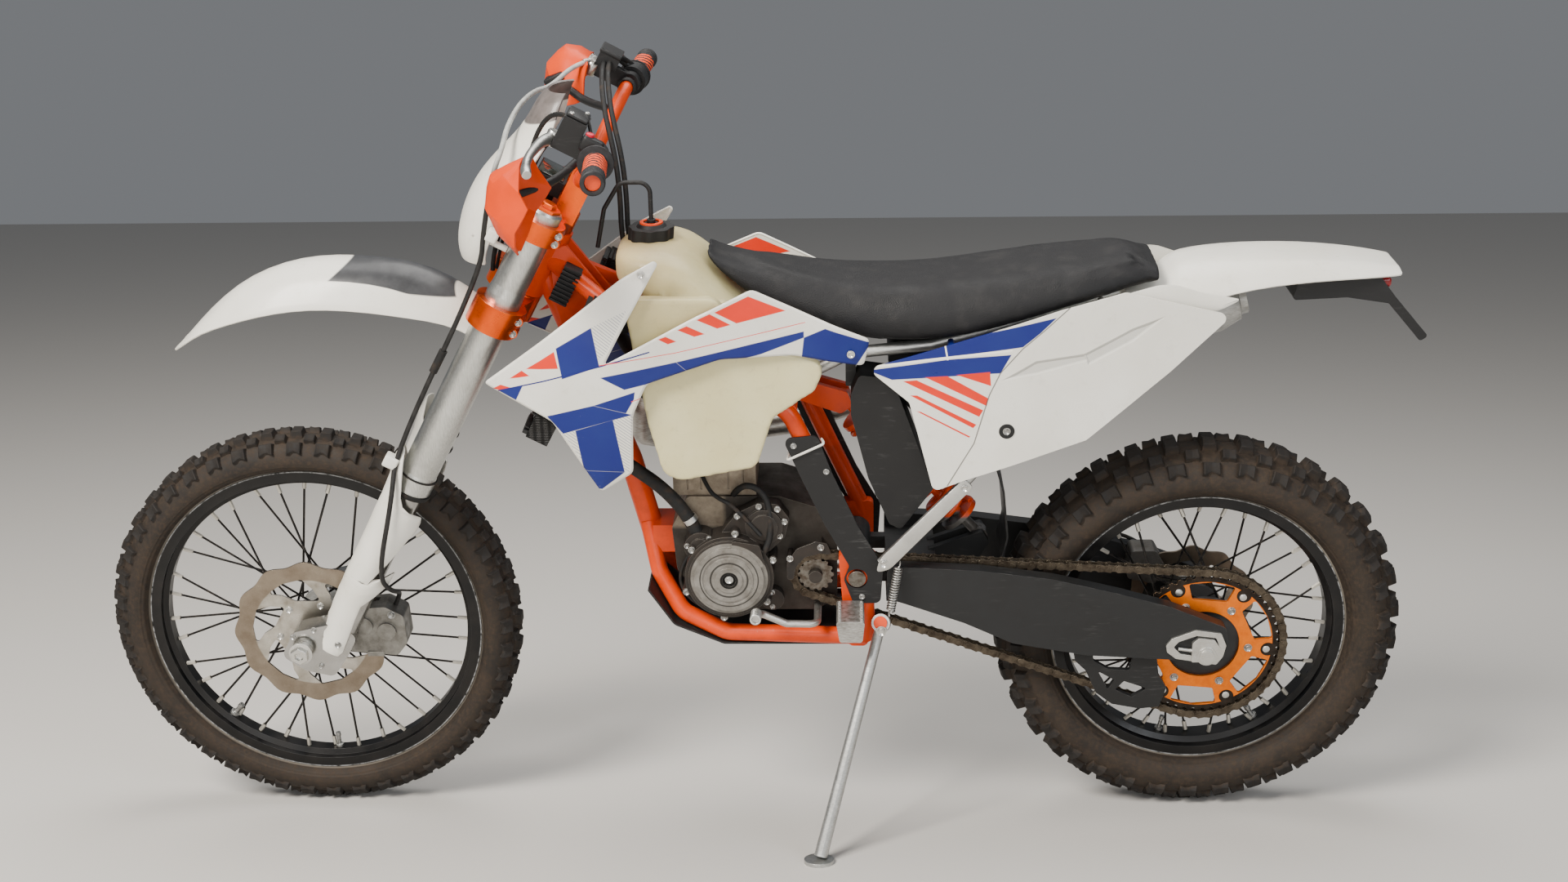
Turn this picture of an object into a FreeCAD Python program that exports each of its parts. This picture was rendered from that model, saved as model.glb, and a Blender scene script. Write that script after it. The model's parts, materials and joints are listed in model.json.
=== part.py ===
import FreeCAD, Part
import math
import os

# An enduro dirt bike, parked on its side stand.
# Drawn upright first: x runs back from the front axle, y to the bike's right, z up from the ground.
# The last lines lean it onto the stand and put the origin under the middle of its box.

V = FreeCAD.Vector

# Driving dimensions (mm, degrees)
WHEELBASE = 1482.0
FRONT_TYRE_R = 348.5
REAR_TYRE_R = 338.5
FRONT_TYRE_HALF = 45.0
REAR_TYRE_HALF = 66.0
FRONT_CROWN_R = 50.0
REAR_CROWN_R = 72.0
FRONT_RIM_R = 280.5
REAR_RIM_R = 242.5
FRONT_RIM_HALF = 25.0
REAR_RIM_HALF = 33.0
LEAN = 12.3
RAKE = 28.2
AXLE_LEAD = 44.0
STEM_OFFSET = 22.0
LEG_Y = 97.0
OUTER_TUBE_R = 29.0
INNER_TUBE_R = 24.0
BAR_HALF = 408.0
CHAIN_Y = -80.0
CHAIN_PITCH = 15.875
FRONT_TEETH = 14
REAR_TEETH = 52
SPOKE_COUNT = 36
SPOKE_R = 2.0
NIPPLE_R = 3.6
NIPPLE_LENGTH = 16.0

# Clearances
SEAT_GAP = 0.3
RUN_GAP = 0.08
MOVE_GAP = 5.0

FRONT_AXLE_Z = FRONT_TYRE_R - FRONT_CROWN_R + (
    FRONT_CROWN_R - REAR_CROWN_R * (1.0 - math.cos(math.radians(LEAN)))
) / math.cos(math.radians(LEAN))
FRONT_AXLE = V(0, 0, FRONT_AXLE_Z)
REAR_AXLE = V(WHEELBASE, 0, REAR_TYRE_R)
FLOOR_LIFT = REAR_CROWN_R * (1.0 - math.cos(math.radians(LEAN)))

UP = V(math.sin(math.radians(RAKE)), 0, math.cos(math.radians(RAKE)))
BACK = V(math.cos(math.radians(RAKE)), 0, -math.sin(math.radians(RAKE)))
LEG_FOOT = FRONT_AXLE + BACK * AXLE_LEAD

NODES = {}


# Basic shapes
def rounded_wire(points, radius, closed=False):
    """Straight runs through the points, with a tangent arc of the radius at each corner."""
    pts = [V(*p) for p in points]
    count = len(pts)
    radii = radius if isinstance(radius, (list, tuple)) else [radius] * count
    corners = range(count) if closed else range(1, count - 1)
    trims = {}
    for i in corners:
        before = pts[(i - 1) % count]
        here = pts[i]
        after = pts[(i + 1) % count]
        a = (before - here).normalize()
        b = (after - here).normalize()
        half = a.getAngle(b) / 2.0
        if half > math.pi / 2 - 1e-4 or radii[i] <= 0:
            continue
        reach = radii[i] / math.tan(half)
        limit = 0.49 * min((before - here).Length, (after - here).Length)
        reach = min(reach, limit)
        centre_way = (a + b).normalize()
        start = here + a * reach
        end = here + b * reach
        r = reach * math.tan(half)
        centre = here + centre_way * (r / math.sin(half))
        middle = centre + (here - centre).normalize() * r
        trims[i] = (start, middle, end)
    edges = []
    last = count if closed else count - 1
    for i in range(last):
        j = (i + 1) % count
        start = trims[i][2] if i in trims else pts[i]
        end = trims[j][0] if j in trims else pts[j]
        if (end - start).Length > 1e-6:
            edges.append(Part.LineSegment(start, end).toShape())
        if j in trims:
            edges.append(Part.Arc(*trims[j]).toShape())
    return Part.Wire(edges)


def pipe(points, radius, bend=40.0, bore=0.0):
    """A round tube along the points; with a bore it is open at both ends."""
    path = rounded_wire(points, bend)
    start = V(*points[0])
    way = V(*points[1]) - start

    def sweep(r):
        ring = Part.Wire(Part.makeCircle(r, start, way))
        return path.makePipeShell([ring], True, False)
    solid = sweep(radius)
    if bore:
        solid = solid.cut(sweep(bore))
    return solid


def rod(start, end, radius, end_radius=None):
    """A round rod from one point to another, tapered where a second radius is given."""
    a = V(*start)
    b = V(*end)
    way = b - a
    if end_radius is None or abs(end_radius - radius) < 1e-6:
        return Part.makeCylinder(radius, way.Length, a, way)
    return Part.makeCone(radius, end_radius, way.Length, a, way)


def disc_y(x, z, y0, y1, radius, bore=0.0):
    """A round slab across the bike from y0 to y1."""
    low, high = min(y0, y1), max(y0, y1)
    slab = Part.makeCylinder(radius, high - low, V(x, low, z), V(0, 1, 0))
    if bore:
        slab = slab.cut(Part.makeCylinder(bore, high - low + 2, V(x, low - 1, z), V(0, 1, 0)))
    return slab


def box(x0, x1, y0, y1, z0, z1):
    return Part.makeBox(x1 - x0, y1 - y0, z1 - z0, V(x0, y0, z0))


def side_prism(points, y0, y1, radius=0.0):
    """A flat shape seen from the side, with rounded corners, given a thickness across the bike."""
    low, high = min(y0, y1), max(y0, y1)
    wire = rounded_wire([(x, low, z) for x, z in points], radius, closed=True)
    return Part.Face(wire).extrude(V(0, high - low, 0))


def plan_prism(points, z0, z1, radius=0.0):
    """A flat shape seen from above, given a height."""
    wire = rounded_wire([(x, y, z0) for x, y in points], radius, closed=True)
    return Part.Face(wire).extrude(V(0, 0, z1 - z0))


def ribbon(points, thickness, y0, y1, bend):
    """A bent strip seen from the side, its thickness laid on the left of its run."""
    line = [V(x, 0, z) for x, z in points]
    shifted = []
    for i, p in enumerate(line):
        before = line[max(i - 1, 0)]
        after = line[min(i + 1, len(line) - 1)]
        way = (after - before).normalize()
        shifted.append(p + V(-way.z, 0, way.x) * thickness)
    outline = [(p.x, p.z) for p in line] + [(p.x, p.z) for p in reversed(shifted)]
    radii = [0] + [bend] * (len(line) - 2) + [0, 0] + [bend] * (len(line) - 2) + [0]
    wire = rounded_wire([(x, y0, z) for x, z in outline], radii, closed=True)
    return Part.Face(wire).extrude(V(0, y1 - y0, 0))


def turned(points, centre):
    """A ring turned about the wheel's axle from a section of (y, radius) points."""
    section = [V(centre.x, y, centre.z + r) for y, r in points]
    face = Part.Face(Part.makePolygon(section + [section[0]]))
    return face.revolve(centre, V(0, 1, 0), 360)


def smooth_ring(points):
    """A closed smooth curve through the points."""
    curve = Part.BSplineCurve()
    curve.interpolate([V(*p) for p in points], PeriodicFlag=True)
    return Part.Wire(curve.toShape())


def loft(sections):
    return Part.makeLoft([smooth_ring(s) for s in sections], True, False)


def dome_ring(points):
    """A flat bottom from the last point to the first, closed by a smooth curve over the others."""
    curve = Part.BSplineCurve()
    curve.interpolate([V(*p) for p in points])
    bottom = Part.LineSegment(V(*points[-1]), V(*points[0])).toShape()
    return Part.Wire([curve.toShape(), bottom])


def skin(grid, thickness):
    """A sheet of even thickness below a grid of points: rows run one way, columns the other."""
    rows = len(grid)
    cols = len(grid[0])
    outer = [[V(*p) for p in row] for row in grid]
    inner = []
    for i in range(rows):
        line = []
        for j in range(cols):
            along = outer[min(i + 1, rows - 1)][j] - outer[max(i - 1, 0)][j]
            across = outer[i][min(j + 1, cols - 1)] - outer[i][max(j - 1, 0)]
            normal = along.cross(across).normalize()
            line.append(outer[i][j] + normal * thickness)
        inner.append(line)
    faces = []
    for points in (outer, inner):
        surface = Part.BSplineSurface()
        surface.interpolate(points)
        faces.append(surface.toShape())
    rims = []
    for points in (outer, inner):
        rims.append([
            points[0],
            points[-1],
            [row[0] for row in points],
            [row[-1] for row in points],
        ])
    sides = []
    for k in range(4):
        a = matching_edge(faces[0], rims[0][k])
        b = matching_edge(faces[1], rims[1][k])
        sides.append(Part.makeRuledSurface(a, b))
    sewn = Part.makeShell(faces + sides)
    sewn.sewShape()
    solid = Part.makeSolid(Part.Shell(sewn.Faces))
    if solid.Volume < 0:
        solid.reverse()
    return solid


def matching_edge(face, points):
    """The face's edge that runs from the first to the last of the points."""
    first = points[0]
    last = points[-1]
    middle = points[len(points) // 2]
    best = None
    for edge in face.Edges:
        ends = [v.Point for v in edge.Vertexes]
        if len(ends) < 2:
            continue
        straight = (ends[0] - first).Length + (ends[1] - last).Length
        crossed = (ends[1] - first).Length + (ends[0] - last).Length
        miss = min(straight, crossed) + edge.distToShape(Part.Vertex(middle))[0]
        if best is None or miss < best[0]:
            best = (miss, edge)
    return best[1]


def mirrored(shape):
    return shape.mirror(V(0, 0, 0), V(0, 1, 0))


def pair(shape):
    """The shape and its copy on the other side of the bike."""
    return Part.makeCompound([shape, mirrored(shape)])


def fused(parts):
    whole = parts[0].multiFuse(parts[1:]) if len(parts) > 1 else parts[0]
    return whole.removeSplitter()


def between(table, x):
    """A value read off a table of (x, value) rows, straight between them."""
    if x <= table[0][0]:
        return table[0][1]
    for (x0, v0), (x1, v1) in zip(table, table[1:]):
        if x <= x1:
            return v0 + (v1 - v0) * (x - x0) / (x1 - x0)
    return table[-1][1]


# Steering parts are drawn with the fork upright: a runs back from the leg, s up along it.
def steer_place(shape):
    placed = shape.copy()
    placed.rotate(V(0, 0, 0), V(0, 1, 0), RAKE)
    placed.translate(LEG_FOOT)
    return placed


def steer_point(a, y, s):
    return LEG_FOOT + BACK * a + UP * s + V(0, y, 0)


# Wheels
def make_wheel(name, centre, tyre_r, tyre_half, crown_r, rim_r, rim_half, hub):
    crown_edge = tyre_half - 3.0
    crown_centre = tyre_r - crown_r
    shoulder = crown_centre + math.sqrt(crown_r ** 2 - crown_edge ** 2)
    wall = 9.0
    tread = 16.0
    bead_y = rim_half - 4.0
    bead_r = rim_r - 13.8
    bulge_r = (rim_r + shoulder) / 2 + 4
    foot_r = bead_r + SEAT_GAP

    def at(y, r):
        return V(centre.x, y, centre.z + r)

    def run(points):
        """The outside of the tyre's half, or its inside, as straight lines between the points."""
        return [Part.LineSegment(at(*a), at(*b)).toShape() for a, b in zip(points, points[1:])]

    foot_y = bead_y - SEAT_GAP
    inner_y = tyre_half - wall
    section = run([(-foot_y, foot_r), (-foot_y, rim_r + 1.5), (-tyre_half, bulge_r), (-crown_edge, shoulder)])
    section.append(Part.Arc(at(-crown_edge, shoulder), at(0, tyre_r), at(crown_edge, shoulder)).toShape())
    section += run([
        (crown_edge, shoulder), (tyre_half, bulge_r), (foot_y, rim_r + 1.5), (foot_y, foot_r),
        (bead_y - wall, foot_r), (bead_y - wall, rim_r), (inner_y, bulge_r - 2),
    ])
    inner_arc = Part.Arc(at(inner_y, bulge_r - 2), at(0, tyre_r - tread), at(-inner_y, bulge_r - 2))
    section.append(inner_arc.toShape())
    section += run([
        (-inner_y, bulge_r - 2), (-bead_y + wall, rim_r), (-bead_y + wall, foot_r), (-foot_y, foot_r),
    ])
    tyre = Part.Face(Part.Wire(section)).revolve(centre, V(0, 1, 0), 360)
    NODES[name + "_tyre"] = tyre

    well = bead_r - 8.0
    rim = turned(
        [
            (-rim_half, rim_r), (-bead_y, rim_r), (-bead_y, bead_r), (-bead_y * 0.55, bead_r),
            (-bead_y * 0.4, well), (bead_y * 0.4, well), (bead_y * 0.55, bead_r), (bead_y, bead_r),
            (bead_y, rim_r), (rim_half, rim_r), (rim_half, bead_r - 3.5), (bead_y * 0.7, bead_r - 4.0),
            (bead_y * 0.5, well - 4.5), (-bead_y * 0.5, well - 4.5), (-bead_y * 0.7, bead_r - 4.0),
            (-rim_half, bead_r - 3.5),
        ],
        centre,
    )
    NODES[name + "_rim"] = rim

    flange_y = hub["flange_y"]
    flange_r = hub["flange_r"]
    seat_r = well - 4.5 - SEAT_GAP
    spokes = []
    for k in range(SPOKE_COUNT):
        side = -1 if k % 2 == 0 else 1
        lean_way = 1 if (k // 2) % 2 == 0 else -1
        turn = 2 * math.pi * k / SPOKE_COUNT
        hub_turn = turn + lean_way * hub["cross"]
        foot_r = flange_r + SPOKE_R + SEAT_GAP
        root = V(
            centre.x + foot_r * math.cos(hub_turn),
            side * flange_y,
            centre.z + foot_r * math.sin(hub_turn),
        )
        rim_way = V(math.cos(turn), 0, math.sin(turn))
        tip = centre + rim_way * seat_r + V(0, side * bead_y * 0.22, 0)
        tilt = (tip - root).getAngle(rim_way)
        tip = tip - rim_way * (NIPPLE_R * math.sin(tilt))
        spokes.append(spoke(root, tip))
    NODES[name + "_spokes"] = Part.makeCompound(spokes)


def hex_rod(start, end, radius):
    """A six-sided rod from one point to another."""
    way = (end - start).normalize()
    side = way.cross(V(0, 1, 0))
    if side.Length < 0.1:
        side = way.cross(V(0, 0, 1))
    side.normalize()
    other = way.cross(side).normalize()
    corners = []
    for k in range(7):
        turn = math.pi / 3 * k
        corners.append(start + side * (radius * math.cos(turn)) + other * (radius * math.sin(turn)))
    return Part.Face(Part.makePolygon(corners)).extrude(end - start)


def spoke(root, tip):
    """A wire from the hub with a thicker nipple at the rim."""
    step = tip - (tip - root).normalize() * NIPPLE_LENGTH
    return hex_rod(root, step, SPOKE_R).fuse(hex_rod(step, tip, NIPPLE_R))


FRONT_HUB = {"flange_y": 34.0, "flange_r": 38.0, "cross": math.radians(62)}
REAR_HUB = {"flange_y": 36.0, "flange_r": 52.0, "cross": math.radians(55)}
FRONT_AXLE_R = 11.0
REAR_AXLE_R = 12.0
FRONT_DISC_Y = (-56.0, -52.5)
REAR_DISC_Y = (60.0, 64.0)
SPROCKET_Y = (CHAIN_Y - 3.0, CHAIN_Y + 3.0)

make_wheel(
    "front", FRONT_AXLE, FRONT_TYRE_R, FRONT_TYRE_HALF, FRONT_CROWN_R, FRONT_RIM_R, FRONT_RIM_HALF, FRONT_HUB,
)
make_wheel(
    "rear", REAR_AXLE, REAR_TYRE_R, REAR_TYRE_HALF, REAR_CROWN_R, REAR_RIM_R, REAR_RIM_HALF, REAR_HUB,
)

NODES["front_hub"] = turned(
    [
        (-62, FRONT_AXLE_R + RUN_GAP), (-62, 20), (-52.2, 20), (-52.2, 44), (-47, 44), (-46, 26), (-39, 26),
        (-37.5, 38), (-30.5, 38), (-26, 24), (26, 24), (30.5, 38), (37.5, 38), (39, 24), (62, 20),
        (62, FRONT_AXLE_R + RUN_GAP),
    ],
    FRONT_AXLE,
)
NODES["rear_hub"] = turned(
    [
        (-85, REAR_AXLE_R + RUN_GAP), (-85, 30), (-76.7, 34), (-76.7, 82), (-71, 82), (-66, 34), (-41, 34),
        (-39.5, 52), (-32.5, 52), (-28, 32), (28, 32), (32.5, 52), (39.5, 52), (41, 34), (53, 34),
        (55, 52), (59.7, 52), (59.7, 24), (74, 24), (74, REAR_AXLE_R + RUN_GAP),
    ],
    REAR_AXLE,
)


def round_about(centre, radius, turn):
    """The (x, z) point at a radius and turn about a wheel's centre."""
    return (centre.x + radius * math.cos(turn), centre.z + radius * math.sin(turn))


def swept_window(centre, y_range, inner, outer, mid, half, sweep):
    """A window between two arms of a wheel's plate; the arms lean by the sweep from inner to outer radius."""
    points = []
    steps = (0.0, 0.5, 1.0)
    for share in steps:
        points.append(round_about(centre, inner + (outer - inner) * share, mid - half + sweep * share))
    points.append(round_about(centre, outer, mid + sweep))
    for share in reversed(steps):
        points.append(round_about(centre, inner + (outer - inner) * share, mid + half + sweep * share))
    return side_prism(points, y_range[0] - 1, y_range[1] + 1, 4.0)


def wavy_disc(centre, y_range, radius, bore, waves, arms, arm_r, track, sweep):
    """A brake disc with a waved rim, swept arms to its centre ring and a vent in each wave."""
    points = []
    steps = waves * 4
    for k in range(steps):
        turn = 2 * math.pi * k / steps
        r = radius - DISC_WAVE + DISC_WAVE * math.cos(waves * turn)
        points.append((centre.x + r * math.cos(turn), y_range[0], centre.z + r * math.sin(turn)))
    thick = y_range[1] - y_range[0]
    disc = Part.Face(smooth_ring(points)).extrude(V(0, thick, 0))
    cuts = [disc_y(centre.x, centre.z, y_range[0] - 1, y_range[1] + 1, bore)]
    for k in range(arms):
        mid = 2 * math.pi * (k + 0.5) / arms
        half = math.pi / arms * 0.66
        cuts.append(swept_window(centre, y_range, arm_r, radius - track, mid, half, sweep))
    return disc.cut(Part.makeCompound(cuts))


DISC_WAVE = 3.5
NODES["front_brake_disc"] = wavy_disc(FRONT_AXLE, FRONT_DISC_Y, 130.0, 24.0, 12, 6, 62.0, 31.0, 0.42)
NODES["rear_brake_disc"] = wavy_disc(REAR_AXLE, REAR_DISC_Y, 110.0, 28.0, 12, 6, 56.0, 27.0, 0.36)

ROLLER_R = 5.08
REAR_PITCH_R = CHAIN_PITCH / (2 * math.sin(math.pi / REAR_TEETH))
FRONT_PITCH_R = CHAIN_PITCH / (2 * math.sin(math.pi / FRONT_TEETH))
FRONT_SPROCKET = V(847, 0, 468)
CARRIER_BORE = 60.0
ARM_TURN = math.radians(-5)


def toothed_ring(centre, y_range, tip_r, root_r, teeth, bore):
    points = []
    for k in range(teeth):
        turn = 2 * math.pi * k / teeth
        step = 2 * math.pi / teeth
        for share, r in ((-0.18, tip_r), (0.18, tip_r), (0.38, root_r), (0.62, root_r)):
            angle = turn + share * step
            points.append((centre.x + r * math.cos(angle), centre.z + r * math.sin(angle)))
    ring = side_prism(points, y_range[0], y_range[1])
    return ring.cut(disc_y(centre.x, centre.z, y_range[0] - 1, y_range[1] + 1, bore))


# The chain is drawn at rest, so the teeth that turn past it stop just inside its rollers.
sprocket_tip = REAR_PITCH_R - ROLLER_R - 1.0
sprocket = toothed_ring(REAR_AXLE, SPROCKET_Y, sprocket_tip, sprocket_tip - 5.0, REAR_TEETH, CARRIER_BORE)
arm_windows = []
for k in range(6):
    mid = ARM_TURN + 2 * math.pi * (k + 0.5) / 6
    arm_windows.append(swept_window(REAR_AXLE, SPROCKET_Y, 85.0, 114.0, mid, math.pi / 6 * 0.66, 0.0))
NODES["rear_sprocket"] = sprocket.cut(Part.makeCompound(arm_windows))

# Fork, drawn upright in the steering frame
TUBE_BOTTOM = 346.0
TUBE_TOP = 862.0
LOWER_CLAMP = (655.0, 700.0)
UPPER_CLAMP = (818.0, 850.0)
STEM_R = 15.0


def leg_turned(points, side):
    """A turned part about one fork leg, from (radius, s) points."""
    section = [V(r, side * LEG_Y, s) for r, s in points]
    face = Part.Face(Part.makePolygon(section + [section[0]]))
    return face.revolve(V(0, side * LEG_Y, 0), V(0, 0, 1), 360)


outer_tube = leg_turned(
    [
        (INNER_TUBE_R + SEAT_GAP, TUBE_BOTTOM), (OUTER_TUBE_R + 2, TUBE_BOTTOM),
        (OUTER_TUBE_R + 2, TUBE_BOTTOM + 26), (OUTER_TUBE_R, TUBE_BOTTOM + 34),
        (OUTER_TUBE_R, LOWER_CLAMP[1] + 14), (OUTER_TUBE_R - 2, LOWER_CLAMP[1] + 30),
        (OUTER_TUBE_R - 2, TUBE_TOP), (OUTER_TUBE_R - 5, TUBE_TOP + 4), (0, TUBE_TOP + 4), (0, TUBE_TOP - 6),
        (INNER_TUBE_R + SEAT_GAP, TUBE_TOP - 6),
    ],
    -1,
)
NODES["fork_outer_tubes"] = steer_place(pair(outer_tube))

LUG_IN = 74.0
LUG_OUT = 116.0
inner_tube = leg_turned([(0, 20), (INNER_TUBE_R, 20), (INNER_TUBE_R, 600), (0, 600)], -1)
lug_plan = [
    (-AXLE_LEAD - 26, -28), (-AXLE_LEAD + 20, -34), (22, -22), (27, 24), (27, 66), (-20, 66),
    (-AXLE_LEAD - 26, 22),
]
lug_face = Part.Face(rounded_wire([(a, -LUG_OUT, s) for a, s in lug_plan], 14, closed=True))
lug = lug_face.extrude(V(0, LUG_OUT - LUG_IN, 0))
lug = lug.cut(rod((-AXLE_LEAD, -LUG_OUT - 1, 0), (-AXLE_LEAD, -LUG_IN + 1, 0), FRONT_AXLE_R + SEAT_GAP))
NODES["fork_inner_tubes"] = steer_place(pair(fused([inner_tube, lug])))

axle = rod((-AXLE_LEAD, -LUG_OUT - 4, 0), (-AXLE_LEAD, LUG_OUT + 2, 0), FRONT_AXLE_R)
axle_head = rod((-AXLE_LEAD, -LUG_OUT - 12, 0), (-AXLE_LEAD, -LUG_OUT - SEAT_GAP, 0), 16.0)
collars = []
for side in (-1, 1):
    collar = rod((-AXLE_LEAD, side * 63, 0), (-AXLE_LEAD, side * (LUG_IN - SEAT_GAP), 0), 17.0)
    collars.append(collar)
NODES["front_axle"] = steer_place(fused([axle, axle_head] + collars))


def clamp_plate(s_range, leg_grip, tube_r, stem_grip):
    """A triple clamp: two split rings on the legs and a bridge to the steering stem."""
    low, high = s_range
    tall = high - low
    grips = []
    for side in (-1, 1):
        grips.append(Part.makeCylinder(leg_grip, tall, V(0, side * LEG_Y, low)))
    grips.append(Part.makeCylinder(stem_grip, tall, V(STEM_OFFSET, 0, low)))
    bridge = plan_prism(
        [
            (-22, -LEG_Y), (-12, -50), (-12, 50), (-22, LEG_Y), (26, LEG_Y), (STEM_OFFSET + 22, 26),
            (STEM_OFFSET + 22, -26), (26, -LEG_Y),
        ],
        low + 2, high - 2, 8,
    )
    plate = fused(grips + [bridge])
    holes = []
    for side in (-1, 1):
        holes.append(Part.makeCylinder(tube_r + SEAT_GAP, tall + 2, V(0, side * LEG_Y, low - 1)))
    return plate.cut(Part.makeCompound(holes))


lower_clamp = clamp_plate(LOWER_CLAMP, 41, OUTER_TUBE_R, 30)
stem = rod((STEM_OFFSET, 0, LOWER_CLAMP[0]), (STEM_OFFSET, 0, UPPER_CLAMP[0] - SEAT_GAP), STEM_R)
upper_clamp = clamp_plate(UPPER_CLAMP, 38, OUTER_TUBE_R - 2, 28)
BAR_A = 28.0
BAR_S = 924.0
BAR_R = 14.3
RISER_Y = 44.0
risers = []
for side in (-1, 1):
    riser_y = side * RISER_Y
    risers.append(box(BAR_A - 18, BAR_A + 18, riser_y - 14, riser_y + 14, UPPER_CLAMP[1] - 4, BAR_S + 20))
upper_clamp = fused([upper_clamp] + risers)
upper_clamp = upper_clamp.cut(rod((BAR_A, -70, BAR_S), (BAR_A, 70, BAR_S), BAR_R + SEAT_GAP))
NODES["lower_triple_clamp"] = steer_place(fused([lower_clamp, stem]))
NODES["upper_triple_clamp"] = steer_place(upper_clamp)

BEND_Y = 200.0
BEND_S = 1013.0
END_A = 40.0
END_S = 1026.0
BAR_PATH = [
    (END_A, -BAR_HALF + 6, END_S), (BAR_A, -BEND_Y, BEND_S), (BAR_A, -92, BAR_S), (BAR_A, 92, BAR_S),
    (BAR_A, BEND_Y, BEND_S), (END_A, BAR_HALF - 6, END_S),
]
END_R = 11.1
bar = pipe(BAR_PATH, END_R, 60)
bar_middle = rod((BAR_A, -72, BAR_S), (BAR_A, 72, BAR_S), BAR_R)
NODES["handlebar"] = steer_place(fused([bar, bar_middle]))


def bar_point(y):
    """A point on the bar's outer run at this distance from the middle."""
    share = (abs(y) - BEND_Y) / (BAR_HALF - 6 - BEND_Y)
    return V(BAR_A + (END_A - BAR_A) * share, y, BEND_S + (END_S - BEND_S) * share)


grip_in = bar_point(-286)
grip_out = bar_point(-BAR_HALF)
grip_way = (grip_out - grip_in).normalize()
grip = rod(grip_in, grip_out, 16.5)
flange = rod(grip_in, grip_in + grip_way * 4, 26)
grip = fused([grip, flange])
grip = grip.cut(rod(grip_in - grip_way * 2, bar_point(-BAR_HALF + 6) + grip_way * SEAT_GAP, END_R + SEAT_GAP))
NODES["grips"] = steer_place(pair(grip))

# Bar controls: perches with threaded holes for mirrors, master cylinders, throttle housing and display
MIRROR_A = 11.0
MIRROR_R = 4.4
MIRROR_DEPTH = 12.0
clutch_perch = rod(bar_point(-228), bar_point(-256), 18)
brake_perch = rod(bar_point(226), bar_point(246), 18)
throttle = rod(bar_point(249), bar_point(284), 24)
bore_left = rod(bar_point(-300), bar_point(-210), END_R + SEAT_GAP)
bore_right = rod(bar_point(300), bar_point(210), END_R + SEAT_GAP)
clutch_body = box(-34, 22, -256, -230, 1002, 1030)
brake_body = box(-34, 22, 226, 246, 1002, 1030)
reservoir_left = box(-34, 1, -256, -206, 1030, 1052)
reservoir_right = box(-34, 1, 196, 246, 1030, 1056)
mirror_holes = []
for mirror_y in (-243, 236):
    mirror_holes.append(rod((MIRROR_A, mirror_y, 1031), (MIRROR_A, mirror_y, 1030 - MIRROR_DEPTH), MIRROR_R))
mirror_holes = Part.makeCompound(mirror_holes)
clutch = fused([clutch_perch, clutch_body, reservoir_left]).cut(bore_left).cut(mirror_holes)
brake = fused([brake_perch, brake_body, reservoir_right]).cut(bore_right).cut(mirror_holes)
throttle = throttle.cut(bore_right)
display = box(-40, 8, -42, 42, 870, 895)
stalk = box(-11, 1, -12, 12, UPPER_CLAMP[1] + SEAT_GAP, 870)
display = fused([display, stalk])
NODES["bar_controls"] = steer_place(Part.makeCompound([clutch, brake, throttle, display]))


def lever(side, y_in, y_out):
    path = [
        (-40, side * y_in, 1008.5), (-46, side * (y_in + 28), 1006), (-52, side * (y_in + 90), 997),
        (-44, side * y_out, 990),
    ]
    return pipe(path, 5.5, 30)


NODES["control_levers"] = steer_place(Part.makeCompound([lever(-1, 240, 392), lever(1, 236, 388)]))


def curved_shield(side):
    rows = []
    for s in (852, 880, 915, 950, 966):
        row = []
        narrow = 0.0 if 870 < s < 955 else 0.12
        for share in (0.0, 0.2, 0.4, 0.6, 0.8, 1.0):
            y = 205 + 140 * (narrow + share * (1 - 2 * narrow))
            a = -78 + 62 * (abs(share - 0.62) / 0.62) ** 2.2 + 0.10 * (s - 910)
            row.append((a, side * y, s))
        rows.append(row)
    return skin(rows, 3.5 * side)


guard_arm = pipe([(-40, -214, 912), (-6, -190, 935), (11.2, -150, 974)], 6.0, 20)
NODES["hand_guards"] = steer_place(pair(fused([curved_shield(-1), guard_arm])))

# Headlight mask and lamp
MASK_ROWS = [
    (1000, 296, 88, 50), (1040, 296, 108, 62), (1080, 308, 118, 70), (1120, 330, 116, 72),
    (1160, 366, 100, 66), (1205, 408, 78, 52), (1255, 446, 50, 34),
]


def mask_rows(inset):
    rows = []
    for z, front, half, deep in MASK_ROWS:
        row = []
        for k in range(-4, 5):
            share = k / 4.0
            y = (half - inset) * math.sin(share * math.pi / 2)
            x = front + inset + (deep) * (1 - math.cos(share * math.pi / 2)) ** 1.0
            row.append((x, y, z))
        rows.append(row)
    return rows


mask = skin(mask_rows(0), -3.5)
mask_arms = []
for side in (-1, 1):
    arm = rod((-84, side * LEG_Y, 779.5), (-(OUTER_TUBE_R - 2) - SEAT_GAP, side * LEG_Y, 779.5), 5)
    mask_arms.append(steer_place(arm))
NODES["headlight_mask"] = fused([mask] + mask_arms)
lamp_rows = [(1032, 296, 40), (1055, 299.4, 50), (1080, 308.2, 50), (1106, 321.5, 42)]
lamp_sections = []
for z, front, half in lamp_rows:
    ring = []
    for k in range(12):
        turn = 2 * math.pi * k / 12
        ring.append((front + 24.3 - 20 * math.cos(turn), half * math.sin(turn), z))
    lamp_sections.append(ring)
NODES["headlight"] = loft(lamp_sections)

# Front fender, a crowned sheet over the front wheel
FRONT_FENDER_ROWS = [
    (-172, 846, 846, 38), (-150, 868, 862, 56), (-118, 902, 884, 66), (-70, 942, 900, 72),
    (-20, 968, 914, 76), (35, 984, 924, 78), (90, 989, 926, 78), (155, 986, 920, 76),
    (215, 978, 908, 70), (272, 955, 896, 62),
    (315, 918, 872, 60), (345, 890, 852, 58),
]


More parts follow.
